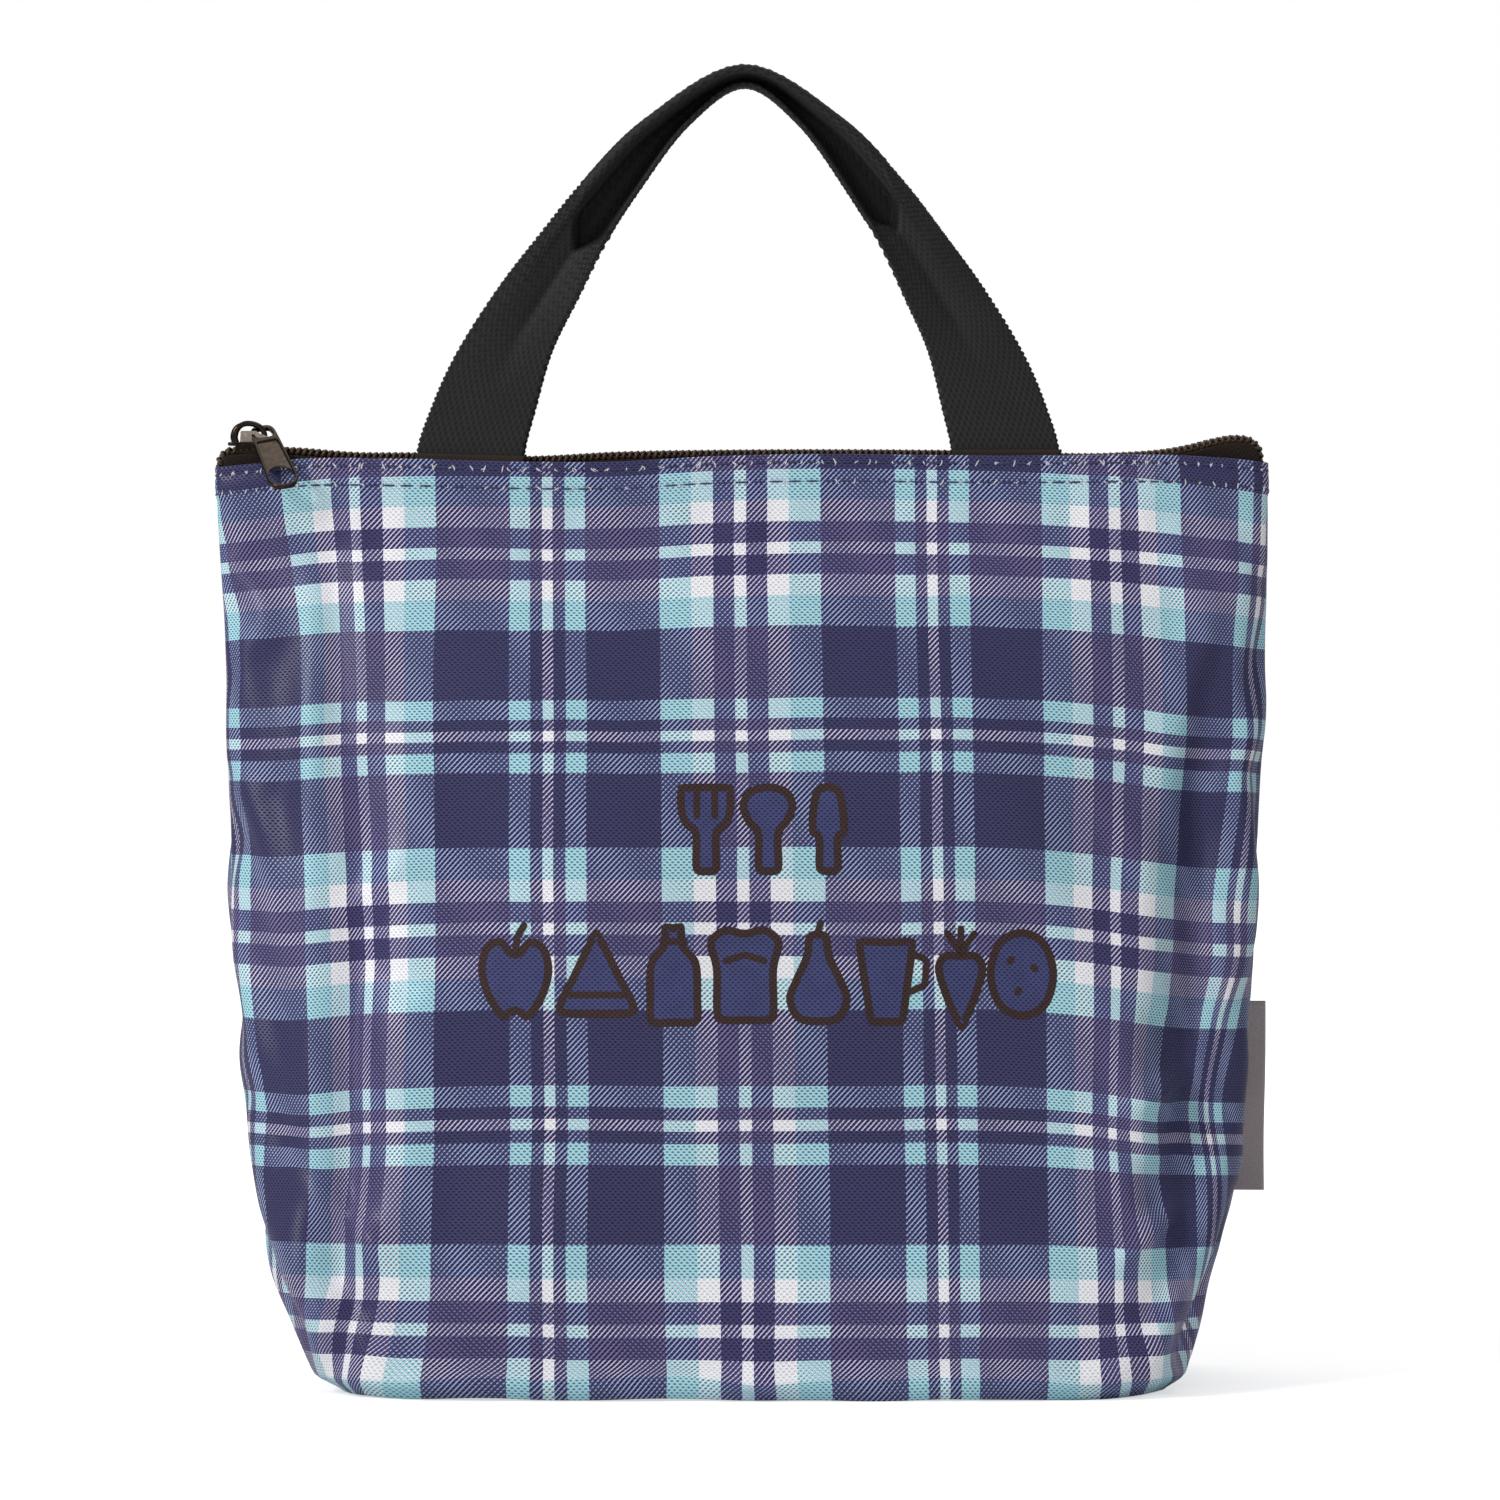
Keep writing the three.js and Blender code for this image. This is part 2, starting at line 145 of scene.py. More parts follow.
def grid_sheet(name, grid, uv, material, thickness, flip, offset=0):
    """A sheet of the given thickness through a grid of points, all in mm."""
    faces = grid_faces(*grid.shape[:2], flip=flip)
    obj = new_object(name, grid.reshape(-1, 3), faces, material, uv.reshape(-1, 2))
    return modify(obj, "SOLIDIFY", thickness=thickness * MM, offset=offset)


def settle_piece(obj, body, slot, *nodes):
    """Says which body a piece rides on and which CAD nodes it stands for; slot, its finish, is not used."""
    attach(obj, body)
    if nodes:
        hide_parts(*nodes)


class Pieces:
    """Vertices and faces gathered for one object made of many small parts."""

    def __init__(self):
        self.vertices, self.faces, self.uv, self.count = [], [], [], 0

    def add(self, vertices, faces, uv=None):
        self.faces += [tuple(i + self.count for i in face) for face in faces]
        self.vertices.append(vertices)
        self.uv.append(uv if uv is not None else vertices[:, :2])
        self.count += len(vertices)

    def add_grid(self, grid, uv, flip):
        self.add(grid.reshape(-1, 3), grid_faces(*grid.shape[:2], flip=flip), uv.reshape(-1, 2))

    def build(self, name, material):
        vertices, uv = np.concatenate(self.vertices), np.concatenate(self.uv)
        return new_object(name, vertices, self.faces, material, uv)


def tube(points, radius, sides):
    """A closed tube along points in mm: its vertices, faces and (along, round) uv."""
    points = np.asarray(points, float)
    radii = np.broadcast_to(np.asarray(radius, float), len(points))
    tangents = np.gradient(points, axis=0)
    tangents /= np.linalg.norm(tangents, axis=1)[:, None]
    side = np.cross(tangents[0], [0.31, 0.52, 0.79])
    angle = (np.arange(sides) * 2 * np.pi / sides)[:, None]
    rings = []
    for point, tangent, r in zip(points, tangents, radii):
        side = side - tangent * np.dot(side, tangent)
        side /= np.linalg.norm(side)
        rings.append(point + r * (np.cos(angle) * side + np.sin(angle) * np.cross(tangent, side)))
    vertices = np.concatenate(rings)
    faces = grid_faces(len(points), sides, wrap=True)
    last = len(vertices) - sides
    faces += [tuple(range(sides - 1, -1, -1)), tuple(range(last, last + sides))]
    return vertices, faces, joined(path_lengths(points)[:, None], np.arange(sides)).reshape(-1, 2)


# ---------- the bag's shape, read from the frame
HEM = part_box("front_panel")[1].z / MM  # height of the hem
HALF_CLOTH = 147.5  # a panel's half width, measured along the cloth
FLAT_CLOTH = 94.0  # up to here the cloth lies flat; beyond it the spare width is eased into the sides
SECTION_SHARES = (0.0005, 0.012, 0.036, 0.09, 0.18, 0.31, 0.49, 0.71, 0.86, 0.94, 0.9995)


def measure_sections():
    """Height, half width, half depth and squareness of the CAD panel's outline at each section, in mm."""
    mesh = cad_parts["front_panel"].data
    tree = BVHTree.FromPolygons([v.co for v in mesh.vertices], [p.vertices for p in mesh.polygons])
    rows = []
    for share in SECTION_SHARES:
        z = HEM * MM * share
        half_width = tree.ray_cast(Vector((1, -0.001, z)), Vector((-1, 0, 0)))[0].x
        half_depth = -tree.ray_cast(Vector((0, -1, z)), Vector((0, 1, 0)))[0].y
        start = Vector((2 * half_width, -2 * half_depth, z))
        corner = tree.ray_cast(start, Vector((-half_width, half_depth, 0)))[0]
        squareness = math.log(0.5) / math.log(corner.x / half_width)
        rows.append((z / MM, half_width / MM, half_depth / MM, squareness))
    return np.array(rows)


SECTIONS = measure_sections()


def section(z):
    """Half width, half depth and squareness at height z."""
    return [smooth_curve(z, SECTIONS[:, (0, k)]) for k in (1, 2, 3)]


GRID_Z = np.linspace(0, HEM, 229)
GRID_U = np.linspace(-HALF_CLOTH, HALF_CLOTH, 591)
shape_grids = {}


def shape_grid(inset):
    """x, y and the outward normal of the smooth shape on a grid of heights and cloth widths."""
    if inset in shape_grids:
        return shape_grids[inset]
    angle = np.linspace(0, math.pi, 721)
    c, s = np.cos(angle), np.sin(angle)
    rows = []
    for z in GRID_Z:
        half_width, half_depth, squareness = section(z)
        radius = (np.abs(c) ** squareness + np.abs(s) ** squareness) ** (-1 / squareness)
        px, py = -(half_width - inset) * radius * c, (half_depth - inset) * radius * s
        arc = path_lengths(np.stack([px, py], 1))
        arc -= arc[-1] / 2
        spare = (arc[-1] - FLAT_CLOTH) / (HALF_CLOTH - FLAT_CLOTH)
        beyond = np.maximum(np.abs(GRID_U) - FLAT_CLOTH, 0)
        place = GRID_U + np.sign(GRID_U) * beyond * (spare - 1)
        tx, ty = np.gradient(px, arc), np.gradient(py, arc)
        rows.append([np.interp(place, arc, part) for part in (px, py, -ty, tx)])
    shape_grids[inset] = np.array(rows).transpose(1, 0, 2)
    return shape_grids[inset]


def from_grid(layers, u, z):
    """Reads grid layers at points u, z, blending the four nearest values."""
    column = np.clip((u + HALF_CLOTH) / (GRID_U[1] - GRID_U[0]), 0, len(GRID_U) - 1.001)
    row = np.clip(z / (GRID_Z[1] - GRID_Z[0]), 0, len(GRID_Z) - 1.001)
    c, r = column.astype(int), row.astype(int)
    fc, fr = column - c, row - r
    low = layers[:, r, c] * (1 - fc) + layers[:, r, c + 1] * fc
    high = layers[:, r + 1, c] * (1 - fc) + layers[:, r + 1, c + 1] * fc
    return low * (1 - fr) + high * fr


# Soft folds in the cloth, in mm: from (u, z) to (u, z), half width, how far it stands out.
FOLDS = (
    ((-101, 6), (-93, 138), 5.5, -3.2),
    ((-110, 30), (-108, 175), 7, 2.6),
    ((-84, 40), (-80, 150), 9, 2.0),
    ((-112, 2), (-92, 40), 5, 2.6),
    ((-128, 40), (-108, 4), 5, -2.8),
    ((-100, 150), (-104, 215), 6, -1.6),
    ((106, 30), (116, 150), 6.5, -4.8),
    ((93, 15), (97, 130), 8, 2.4),
    ((128, 60), (131, 170), 6, 2.6),
    ((97, 3), (110, 40), 5, 2.8),
    ((112, 3), (128, 44), 5, -3.4),
    ((60, 150), (100, 60), 10, 1.4),
    ((-30, 205), (60, 150), 16, 1.3),
    ((-80, 190), (-20, 120), 18, 1.2),
    ((20, 60), (90, 20), 13, 1.4),
    ((-60, 30), (0, 70), 13, 1.3),
    ((-70, 66), (70, 58), 12, -0.8),
    ((101, 92), (101, 80), 5, -3.0),
    ((91, 70), (109, 77), 3.5, 2.4),
    ((99, 56), (97, 46), 5, -2.8),
    ((89, 35), (105, 46), 3, 2.6),
    ((-105, 50), (-87, 35), 3.5, 2.4),
    ((-101, 34), (-96, 22), 5, -2.6),
    ((-97, 117), (-83, 129), 4, 1.8),
    ((-92, 106), (-80, 98), 5, -1.8),
    ((78, 150), (100, 128), 5, 1.6),
)
HEM_BAND = 7.4  # height of the folded hem
STITCH_ROWS = (2.0, 6.7)  # below the hem's edge
STITCH_PITCH = 4.3
# How far the front hem's edge lies above or below the straight hem: (u, rise).
FRONT_HEM_LINE = (
    (-147.5, -2.2), (-138, -1.7), (-127, -1.0), (-115, -0.1), (-80, 0.0), (-52, -0.7), (-32, -0.7),
    (-8, 0.6), (20, 1.2), (52, 0.9), (80, 0.9), (100, 1.1), (115, 0.8), (130, 0.1), (147.5, -1.2),
)
REAR_HEM_LINE = (
    (-147.5, -2.2), (-115, -0.2), (-60, 0.2), (0, 0.5), (60, -0.1), (115, -0.2), (147.5, -2.2),
)
HEM_LINE = {FRONT: FRONT_HEM_LINE, REAR: REAR_HEM_LINE}


RELIEF_SEED = {FRONT: 3.1, REAR: 8.7}


def fold_height(u, z, start, end, width, rise):
    """One fold: a ridge round the segment from start to end that fades past its ends."""
    (u0, z0), (u1, z1) = start, end
    du, dz = u1 - u0, z1 - z0
    length = math.hypot(du, dz)
    along = ((u - u0) * du + (z - z0) * dz) / length**2
    across = ((u - u0) * dz - (z - z0) * du) / length
    return rise * bell(across, 0, width) * np.exp(-((np.abs(along - 0.5) * 1.7) ** 4))


def relief(u, z, side):
    """How far the cloth stands out from the smooth shape, in mm, at points u, z."""
    turned = u if side == FRONT else -u
    out = sum(fold_height(turned, z, *fold) for fold in FOLDS)
    seed = RELIEF_SEED[side]
    near_side = ease(np.abs(u), 60, 140)
    out = out + wander(u, z, 38, seed) * (0.7 + 1.0 * near_side)
    out = out + wander(u, z, 15, seed + 4) * (0.08 + 0.45 * near_side)
    out = out * ease(z, 1.0, 14) * (1 - 0.85 * ease(z, HEM - 30, HEM - 4))
    return out * (1 - ease(np.abs(u), 137, 146)) - 0.7 * ease(np.abs(u), 141, HALF_CLOTH)


def hem_relief(u, z):
    """The folded hem stands out, and each stitch pulls it in."""
    below = HEM - z
    out = 0.45 * (1 - ease(below, HEM_BAND - 0.3, HEM_BAND + 0.9))
    for row in STITCH_ROWS:
        out = out - 0.4 * bell(below, row, 0.75) * (0.75 + 0.25 * np.cos(2 * np.pi * u / STITCH_PITCH))
    return out


BASE_SHIFT = 2.2  # the bag stands this much further right at its base
# How far right the left and right sides stand from the smooth shape: (height, shift).
LEFT_SIDE_SHIFT = (
    (0, 1.9), (20, 1.7), (32, 0.7), (40, 1.0), (50, 2.0), (58, 2.8), (66, 2.9), (80, 1.6), (95, 0.6),
    (112, -0.9), (140, 0.2), (190, 0.3), (210, -0.3), (226.5, -0.7),
)
RIGHT_SIDE_SHIFT = (
    (0, -0.8), (8, -3.2), (20, -3.8), (35, -2.6), (50, -1.8), (65, -3.2), (82, -3.0), (98, -3.0),
    (114, -1.8), (131, -0.6), (147, -0.4), (163, 0.1), (185, 0.4), (226.5, 0.6),
)
SIM_COLUMNS, SIM_ROWS = 62, 48  # the coarse cloth that is let sag
SIM_FRAMES = 24
LARGEST_SAG = 3.2
SIM_SETTINGS = {
    "quality": 8,
    "mass": 0.06,
    "tension_stiffness": 20,
    "compression_stiffness": 20,
    "shear_stiffness": 8,
    "bending_stiffness": 0.6,
    "shrink_min": -0.028,  # the cloth is cut this share too large
    "vertex_group_mass": "held",
}
sag_layers = {}


def blend_weights(places, count):
    """The matrix that turns evenly spaced values into smooth values at places from 0 to 1."""
    place = np.clip(places, 0, 1) * (count - 1)
    whole = np.clip(np.floor(place).astype(int), 0, count - 2)
    t = place - whole
    shares = ((1 - t) ** 3, 3 * t**3 - 6 * t**2 + 4, -3 * t**3 + 3 * t**2 + 3 * t + 1, t**3)
    matrix = np.zeros((len(places), count))
    for offset, share in zip((-1, 0, 1, 2), shares):
        np.add.at(matrix, (np.arange(len(places)), np.clip(whole + offset, 0, count - 1)), share / 6)
    return matrix


def let_sag(side):
    """Cloth simulation: the outer cloth, cut a little too large, sags between its sewn edges."""
    us = np.linspace(-HALF_CLOTH, HALF_CLOTH, SIM_COLUMNS)
    zs = np.linspace(0, HEM, SIM_ROWS)
    rest = panel_point(us[None], zs[:, None], side)
    mesh = bpy.data.meshes.new("sag")
    mesh.from_pydata((rest * MM).reshape(-1, 3).tolist(), [], grid_faces(SIM_ROWS, SIM_COLUMNS))
    cloth = bpy.data.objects.new("sag", mesh)
    bpy.context.scene.collection.objects.link(cloth)
    held = np.zeros((SIM_ROWS, SIM_COLUMNS), bool)
    held[(0, -3, -2, -1), :] = True
    held[:, (0, 1, -2, -1)] = True
    group = cloth.vertex_groups.new(name="held")
    group.add(np.flatnonzero(held).tolist(), 1.0, "REPLACE")
    modifier = cloth.modifiers.new("sag", "CLOTH")
    for setting, value in SIM_SETTINGS.items():
        setattr(modifier.settings, setting, value)
    modifier.collision_settings.use_collision = False
    modifier.point_cache.frame_start = 1
    modifier.point_cache.frame_end = SIM_FRAMES
    scene = bpy.context.scene
    for frame_number in range(1, SIM_FRAMES + 1):
        scene.frame_set(frame_number)
    sagged = cloth.evaluated_get(bpy.context.evaluated_depsgraph_get())
    moved = np.array([v.co for v in sagged.data.vertices]).reshape(rest.shape) / MM - rest
    scene.frame_set(1)
    bpy.data.objects.remove(cloth)
    length = np.linalg.norm(moved, axis=-1, keepdims=True) + 1e-9
    moved = moved * np.tanh(length / LARGEST_SAG) * LARGEST_SAG / length
    across = blend_weights((GRID_U + HALF_CLOTH) / (2 * HALF_CLOTH), SIM_COLUMNS)
    upward = blend_weights(GRID_Z / HEM, SIM_ROWS)
    inside = 1 - ease(np.abs(GRID_U), HALF_CLOTH - 7, HALF_CLOTH - 1)
    between = ease(GRID_Z, 0, 6) * (1 - ease(GRID_Z, HEM - 12, HEM - 5))
    layers = [upward @ moved[..., k] @ across.T for k in range(3)]
    return np.array(layers) * inside * between[:, None]


def panel_point(u, z, side, inset=0.0, proud=0.0, hem=False):
    """Points of one side's cloth in mm, at cloth width u and height z, as one array of x, y, z."""
    u, z = np.broadcast_arrays(np.asarray(u, float), np.asarray(z, float))
    x, y, nx, ny = from_grid(shape_grid(inset), u, z)
    out = relief(u, z, side) + proud
    if hem:
        out = out + hem_relief(u, z)
    x = x + nx * out + BASE_SHIFT * (1 - z / HEM)
    x = x + smooth_curve(z, LEFT_SIDE_SHIFT) * ease(-u, 70, 140)
    x = x + smooth_curve(z, RIGHT_SIDE_SHIFT) * ease(u, 70, 140)
    y = side * (y + ny * out)
    sag = from_grid(sag_layers[side], u, z) if side in sag_layers else (0, 0, 0)
    edge_lift = np.clip(0.35 + 0.5 * wander(u, z * 0 + side, 24, 5.5), 0, 1.2) * (1 - ease(z, 0, 14))
    z = z + smooth_curve(u, HEM_LINE[side]) * ease(z, HEM * 0.55, HEM) + edge_lift
    return np.stack([x + sag[0], y + sag[1], z + sag[2]], -1)


for cloth_side, _ in SIDES:
    sag_layers[cloth_side] = let_sag(cloth_side)


# ---------- where the plaid lies on the cloth
HALF_SETT = 47.2  # from the middle of the broad group of stripes to the middle of the fine one
# Stripe edges and middles on the flat cloth.
PLACES = (0, HALF_SETT, 74.8, 94.4, 114.0, 132.2, 151.0, 190.0)
# Where they lie on the front at each height: the sides gather the cloth in, the lower right most.
LEFT_COLUMNS = (
    (0, (0, 47.5, 78.5, 99.5, 110.5, 121.5, 133.5, 151.5)),
    (30, (0, 47.5, 76, 94, 106.5, 119.5, 133.5, 151.5)),
    (65, (0, 47, 75, 92.5, 107.5, 122, 136.5, 154.5)),
    (110, (0, 47, 74.5, 91, 107.8, 128.5, 144.5, 172.5)),
    (160, (0, 47, 75, 93, 112, 132.5, 149.5, 185.5)),
    (226.5, (0, 47, 74.5, 94.5, 118.5, 140.5, 157.5, 193.5)),
)
RIGHT_COLUMNS = (
    (0, (0, 47, 71.5, 91, 108.5, 118.5, 130.5, 160.5)),
    (30, (0, 47, 72, 89, 102, 110, 120.5, 150.5)),
    (65, (0, 47, 72.5, 88.5, 100.5, 112, 120.5, 150.5)),
    (110, (0, 47, 73, 90.5, 107.5, 119, 131.5, 162.5)),
    (160, (0, 47, 73.5, 92, 112.5, 127, 141.5, 176.5)),
    (226.5, (0, 47, 74, 91.5, 112, 131.5, 151.5, 190.5)),
)
# Height of each stripe group's middle on the front, as (height, number of half setts).
GROUP_HEIGHTS = ((0, -0.36), (17.3, 0), (65.5, 1), (112.3, 2), (158.8, 3), (203.8, 4), (226.5, 4.5))
# How far a stripe falls towards the left and right sides: (height, fall).
LEFT_DROOP = ((0, 0.5), (30, 1.0), (65, 2.8), (112, 3.6), (158, 2.6), (202, 3.2), (226.5, 2.6))
RIGHT_DROOP = ((0, 0.5), (30, 2.5), (65, 6.5), (112, 6.6), (158, 6.2), (202, 5.2), (226.5, 4.2))
PLAID_SHIFT = 0.6  # the middle group stands this far left of the bag's middle
REAR_SHIFT = 20.0  # the rear panel is cut from another place in the plaid


def column_place(u, z, columns):
    """Place on the flat cloth at distance u from the middle, blended between columns' heights."""
    heights = [height for height, _ in columns]
    places = [smooth_curve(u, list(zip(row, PLACES))) for _, row in columns]
    out = places[0]
    for low, high, place in zip(heights, heights[1:], places[1:]):
        out = out + (place - out) * ease(z, low, high)
    return out


def cloth_uv(u, z, side):
    """The plaid's own coordinates in mm, 0, 0 where two broad groups cross."""
    if side in sag_layers:
        z = z + np.interp(z, GRID_Z, sag_layers[side][2].mean(axis=1))
    up = smooth_curve(z, GROUP_HEIGHTS) * HALF_SETT
    left, right = ease(-u, 50, HALF_CLOTH), ease(u, 50, HALF_CLOTH)
    up = up + smooth_curve(z, LEFT_DROOP) * left + smooth_curve(z, RIGHT_DROOP) * right
    if side == REAR:
        return np.stack([REAR_SHIFT - u, up], -1)
    u = u + PLAID_SHIFT
    along = np.where(u < 0, -column_place(-u, z, LEFT_COLUMNS), column_place(u, z, RIGHT_COLUMNS))
    return np.stack([along, up], -1)


# ---------- node helpers
def rgb(r, g, b):
    """An sRGB colour from 0 to 255 as linear RGBA."""
    def channel(value):
        value = value / 255
        return value / 12.92 if value <= 0.04045 else ((value + 0.055) / 1.055) ** 2.4

    return (channel(r), channel(g), channel(b), 1.0)


class Nodes:
    """Short calls that build one material's node tree."""

    def __init__(self, name, roughness=0.7, **inputs):
        self.material = bpy.data.materials.new(name)
        self.material.use_nodes = True
        self.tree = self.material.node_tree
        self.bsdf = self.tree.nodes["Principled BSDF"]
        self.bsdf.inputs["Roughness"].default_value = roughness
        for key, value in inputs.items():
            self.bsdf.inputs[key.replace("_", " ")].default_value = value

    def node(self, kind, **settings):
        made = self.tree.nodes.new(kind)
        for key, value in settings.items():
            setattr(made, key, value)
        return made

    def plug(self, value, socket):
        if isinstance(value, bpy.types.NodeSocket):
            self.tree.links.new(value, socket)
        else:
            socket.default_value = value

    def math(self, operation, a, b=0.0):
        node = self.node("ShaderNodeMath", operation=operation)
        for value, socket in zip((a, b), node.inputs):
            self.plug(value, socket)
        return node.outputs[0]

    def remap(self, value, low, high, new_low=0.0, new_high=1.0):
        node = self.node("ShaderNodeMapRange")
        for socket, number in zip(node.inputs, (value, low, high, new_low, new_high)):
            self.plug(number, socket)
        return node.outputs[0]

    def mix(self, factor, a, b, blend="MIX"):
        node = self.node("ShaderNodeMix", data_type="RGBA", blend_type=blend)
        for name, value in (("Factor", factor), ("A", a), ("B", b)):
            self.plug(value, [s for s in node.inputs if s.name == name and s.enabled][0])
        return [s for s in node.outputs if s.enabled][0]

    def tint(self, a, b):
        return self.mix(1.0, a, b, "MULTIPLY")

    def uv(self):
        """The two cloth coordinates in mm."""
        split = self.node("ShaderNodeSeparateXYZ")
        self.plug(self.node("ShaderNodeUVMap", uv_map="cloth").outputs[0], split.inputs[0])
        return split.outputs[0], split.outputs[1]

    def place(self):
        return self.node("ShaderNodeTexCoord").outputs["Object"]

    def place_mm(self):
        split = self.node("ShaderNodeSeparateXYZ")
        self.plug(self.place(), split.inputs[0])
        return [self.math("MULTIPLY", out, 1000) for out in split.outputs]

    def noise(self, scale, detail=2.0, roughness=0.5):
        """Fractal noise on the object's own coordinates; scale counts features in a metre."""
        node = self.node("ShaderNodeTexNoise")
        self.plug(self.place(), node.inputs["Vector"])
        for name, value in (("Scale", scale), ("Detail", detail), ("Roughness", roughness)):
            node.inputs[name].default_value = value
        return node.outputs[0]

    def patches(self, scale, detail, low, high):
        """Soft uneven patches from low to high."""
        return self.remap(self.noise(scale, detail), 0.3, 0.7, low, high)

    def wave(self, value, period):
        """A cosine from -1 to 1 of the given period."""
        return self.math("COSINE", self.math("MULTIPLY", value, 2 * math.pi / period))

    def waves(self, u, v, repeat):
        return self.math("MULTIPLY", self.wave(u, repeat[0]), self.wave(v, repeat[1]))

    def yarns(self, u, v, repeat):
        """The height of a plain weave, 0 to 1."""
        return self.remap(self.waves(u, v, repeat), -1, 1)

    def bands(self, value, stops):
        """A row of plain colours, each from its stop to the next."""
        node = self.node("ShaderNodeValToRGB")
        node.color_ramp.interpolation = "CONSTANT"
        elements = node.color_ramp.elements
        while len(elements) < len(stops):
            elements.new(0.5)
        for element, (position, colour) in zip(elements, stops):
            element.position = position
            element.color = colour
        self.plug(value, node.inputs[0])
        return node.outputs[0]

    def bump(self, height, strength, distance):
        node = self.node("ShaderNodeBump")
        node.inputs["Strength"].default_value = strength
        node.inputs["Distance"].default_value = distance
        self.plug(height, node.inputs["Height"])
        self.plug(node.outputs[0], self.bsdf.inputs["Normal"])

    def colour(self, value):
        self.plug(value, self.bsdf.inputs["Base Color"])

    def rough(self, value):
        self.plug(value, self.bsdf.inputs["Roughness"])


# ---------- materials
NAVY = rgb(48, 48, 88)
INK = rgb(52, 49, 94)
AQUA = rgb(152, 201, 211)
WHITE = rgb(247, 249, 253)
LAVENDER = rgb(158, 134, 220)
VIOLET = rgb(124, 113, 160)
# Distance from the broad group's middle at which each stripe starts, its colour, and how dark it counts.
STRIPES = (
    (0.0, WHITE, 0.0),
    (1.3, INK, 1.0),
    (6.5, WHITE, 0.0),
    (11.9, AQUA, 0.0),
    (19.6, NAVY, 0.5),
    (37.8, AQUA, 0.0),
    (42.9, NAVY, 0.5),
    (45.8, WHITE, 0.0),
)
DASH = (1.36, 1.30)  # one repeat of the weave's dashes along u and along v
TWILL = (1.27, 1.36)  # one repeat of the printed diagonal along u and along v
# Colour factors: painted shade for the gaps between the weave's dashes, painted highlight for the dash
# tops.
GAP_PAINTED_SHADE = (0.18, 0.23, 0.31, 1.0)  # the shaded gaps between the dashes
DASH_PAINTED_HIGHLIGHT = (1.52, 1.44, 1.46, 1.0)  # the tops of the dashes


def weave_gaps(n, u, v):
    """The oxford weave's gaps: short dark dashes set like bricks, 0 to 1."""
    rows = n.math("MULTIPLY", n.math("SUBTRACT", n.wave(v, DASH[1] / 2), 1), 0.5)
    return n.remap(n.math("SUBTRACT", rows, n.waves(u, v, DASH)), -0.45, 0.45)


def twill_lines(n, u, v):
    """The printed diagonal lines, rising to the right, 0 to 1."""
    phase = n.math("SUBTRACT", n.math("DIVIDE", u, TWILL[0]), n.math("DIVIDE", v, TWILL[1]))
    return n.remap(n.wave(phase, 1.0), 0.38, 0.82)


def stripes(n, value):
    """Colour and darkness of the stripes across one direction."""
    share = n.math("DIVIDE", n.math("PINGPONG", value, HALF_SETT), HALF_SETT)
    colours = n.bands(share, [(start / HALF_SETT, colour) for start, colour, _ in STRIPES])
    darks = n.bands(share, [(start / HALF_SETT, (dark, dark, dark, 1)) for start, _, dark in STRIPES])
    return colours, darks


def weave_shade(n, base, gaps):
    """Paints shade into the weave's gaps and a highlight onto its dash tops, less on white."""
    red = n.node("ShaderNodeSeparateColor")
    n.plug(base, red.inputs[0])
    depth = n.remap(red.outputs[0], 0.25, 0.75, 1.0, 0.28)
    # painted highlight on the dash tops, then painted shade in the gaps
    painted_highlight = n.mix(depth, base, n.tint(base, DASH_PAINTED_HIGHLIGHT))
    return n.mix(n.math("MULTIPLY", gaps, depth), painted_highlight, n.tint(base, GAP_PAINTED_SHADE))


def plaid_material():
    n = Nodes("plaid_cloth", Sheen_Weight=0.05, Specular_IOR_Level=0.42)
    u, v = n.uv()
    wobble = n.remap(n.noise(30, 1), 0, 1, -0.35, 0.35)
    warp, warp_dark = stripes(n, n.math("ADD", u, wobble))
    weft, weft_dark = stripes(n, n.math("ADD", v, wobble))
    line, gaps = twill_lines(n, u, v), weave_gaps(n, u, v)
    under, over = n.mix(1.0, warp, weft, "DARKEN"), n.mix(1.0, warp, weft, "LIGHTEN")
    is_dark = [n.math("GREATER_THAN", dark, 0.25) for dark in (warp_dark, weft_dark)]
    one_dark = n.math("ABSOLUTE", n.math("SUBTRACT", *is_dark))
    both_dark = n.math("MULTIPLY", *is_dark)
    difference = n.math("ABSOLUTE", n.math("SUBTRACT", warp_dark, weft_dark))
    unlike = n.math("GREATER_THAN", difference, 0.25)
    line_colour = n.mix(n.math("MULTIPLY", one_dark, 0.46), over, LAVENDER)
    line_colour = n.mix(n.math("MULTIPLY", both_dark, unlike), line_colour, VIOLET)
    base = n.mix(line, under, line_colour)
    n.colour(n.tint(weave_shade(n, base, gaps), n.patches(12, 3, 0.94, 1.06)))
    n.rough(n.remap(gaps, 0, 1, 0.4, 0.75))
    n.bump(n.math("SUBTRACT", 1.0, gaps), 0.7, 0.0003)
    return n.material


def print_material(name, colour):
    """Ink printed on the cloth: the weave still shows."""
    n = Nodes(name, roughness=0.5, Specular_IOR_Level=0.35)
    gaps = weave_gaps(n, *n.uv())
    n.colour(n.tint(weave_shade(n, colour, gaps), n.patches(180, 3, 0.9, 1.12)))
    n.bump(n.math("SUBTRACT", 1.0, gaps), 0.45, 0.00025)
    return n.material


def woven_material(name, colour, repeat, roughness=0.8, shade=(0.6, 1.3), wear=0.1):
    """A plain woven tape or a thread whose yarns make bumps."""
    n = Nodes(name, roughness=roughness)
    height = n.yarns(*n.uv(), repeat)
    shaded = n.tint(colour, n.remap(height, 0, 1, *shade))
    n.colour(n.tint(shaded, n.patches(90, 4, 1 - wear, 1 + wear)))
    n.bump(height, 0.6, 0.0003)
    return n.material


def binding_material():
    """Binding tape, woven on the object's own coordinates."""
    n = Nodes("binding_cloth", roughness=0.85)
    _, y, z = n.place_mm()
    height = n.yarns(y, z, (0.8, 0.8))
    n.colour(n.mix(height, rgb(24, 22, 30), rgb(52, 50, 62)))
    n.bump(height, 0.5, 0.0002)
    return n.material


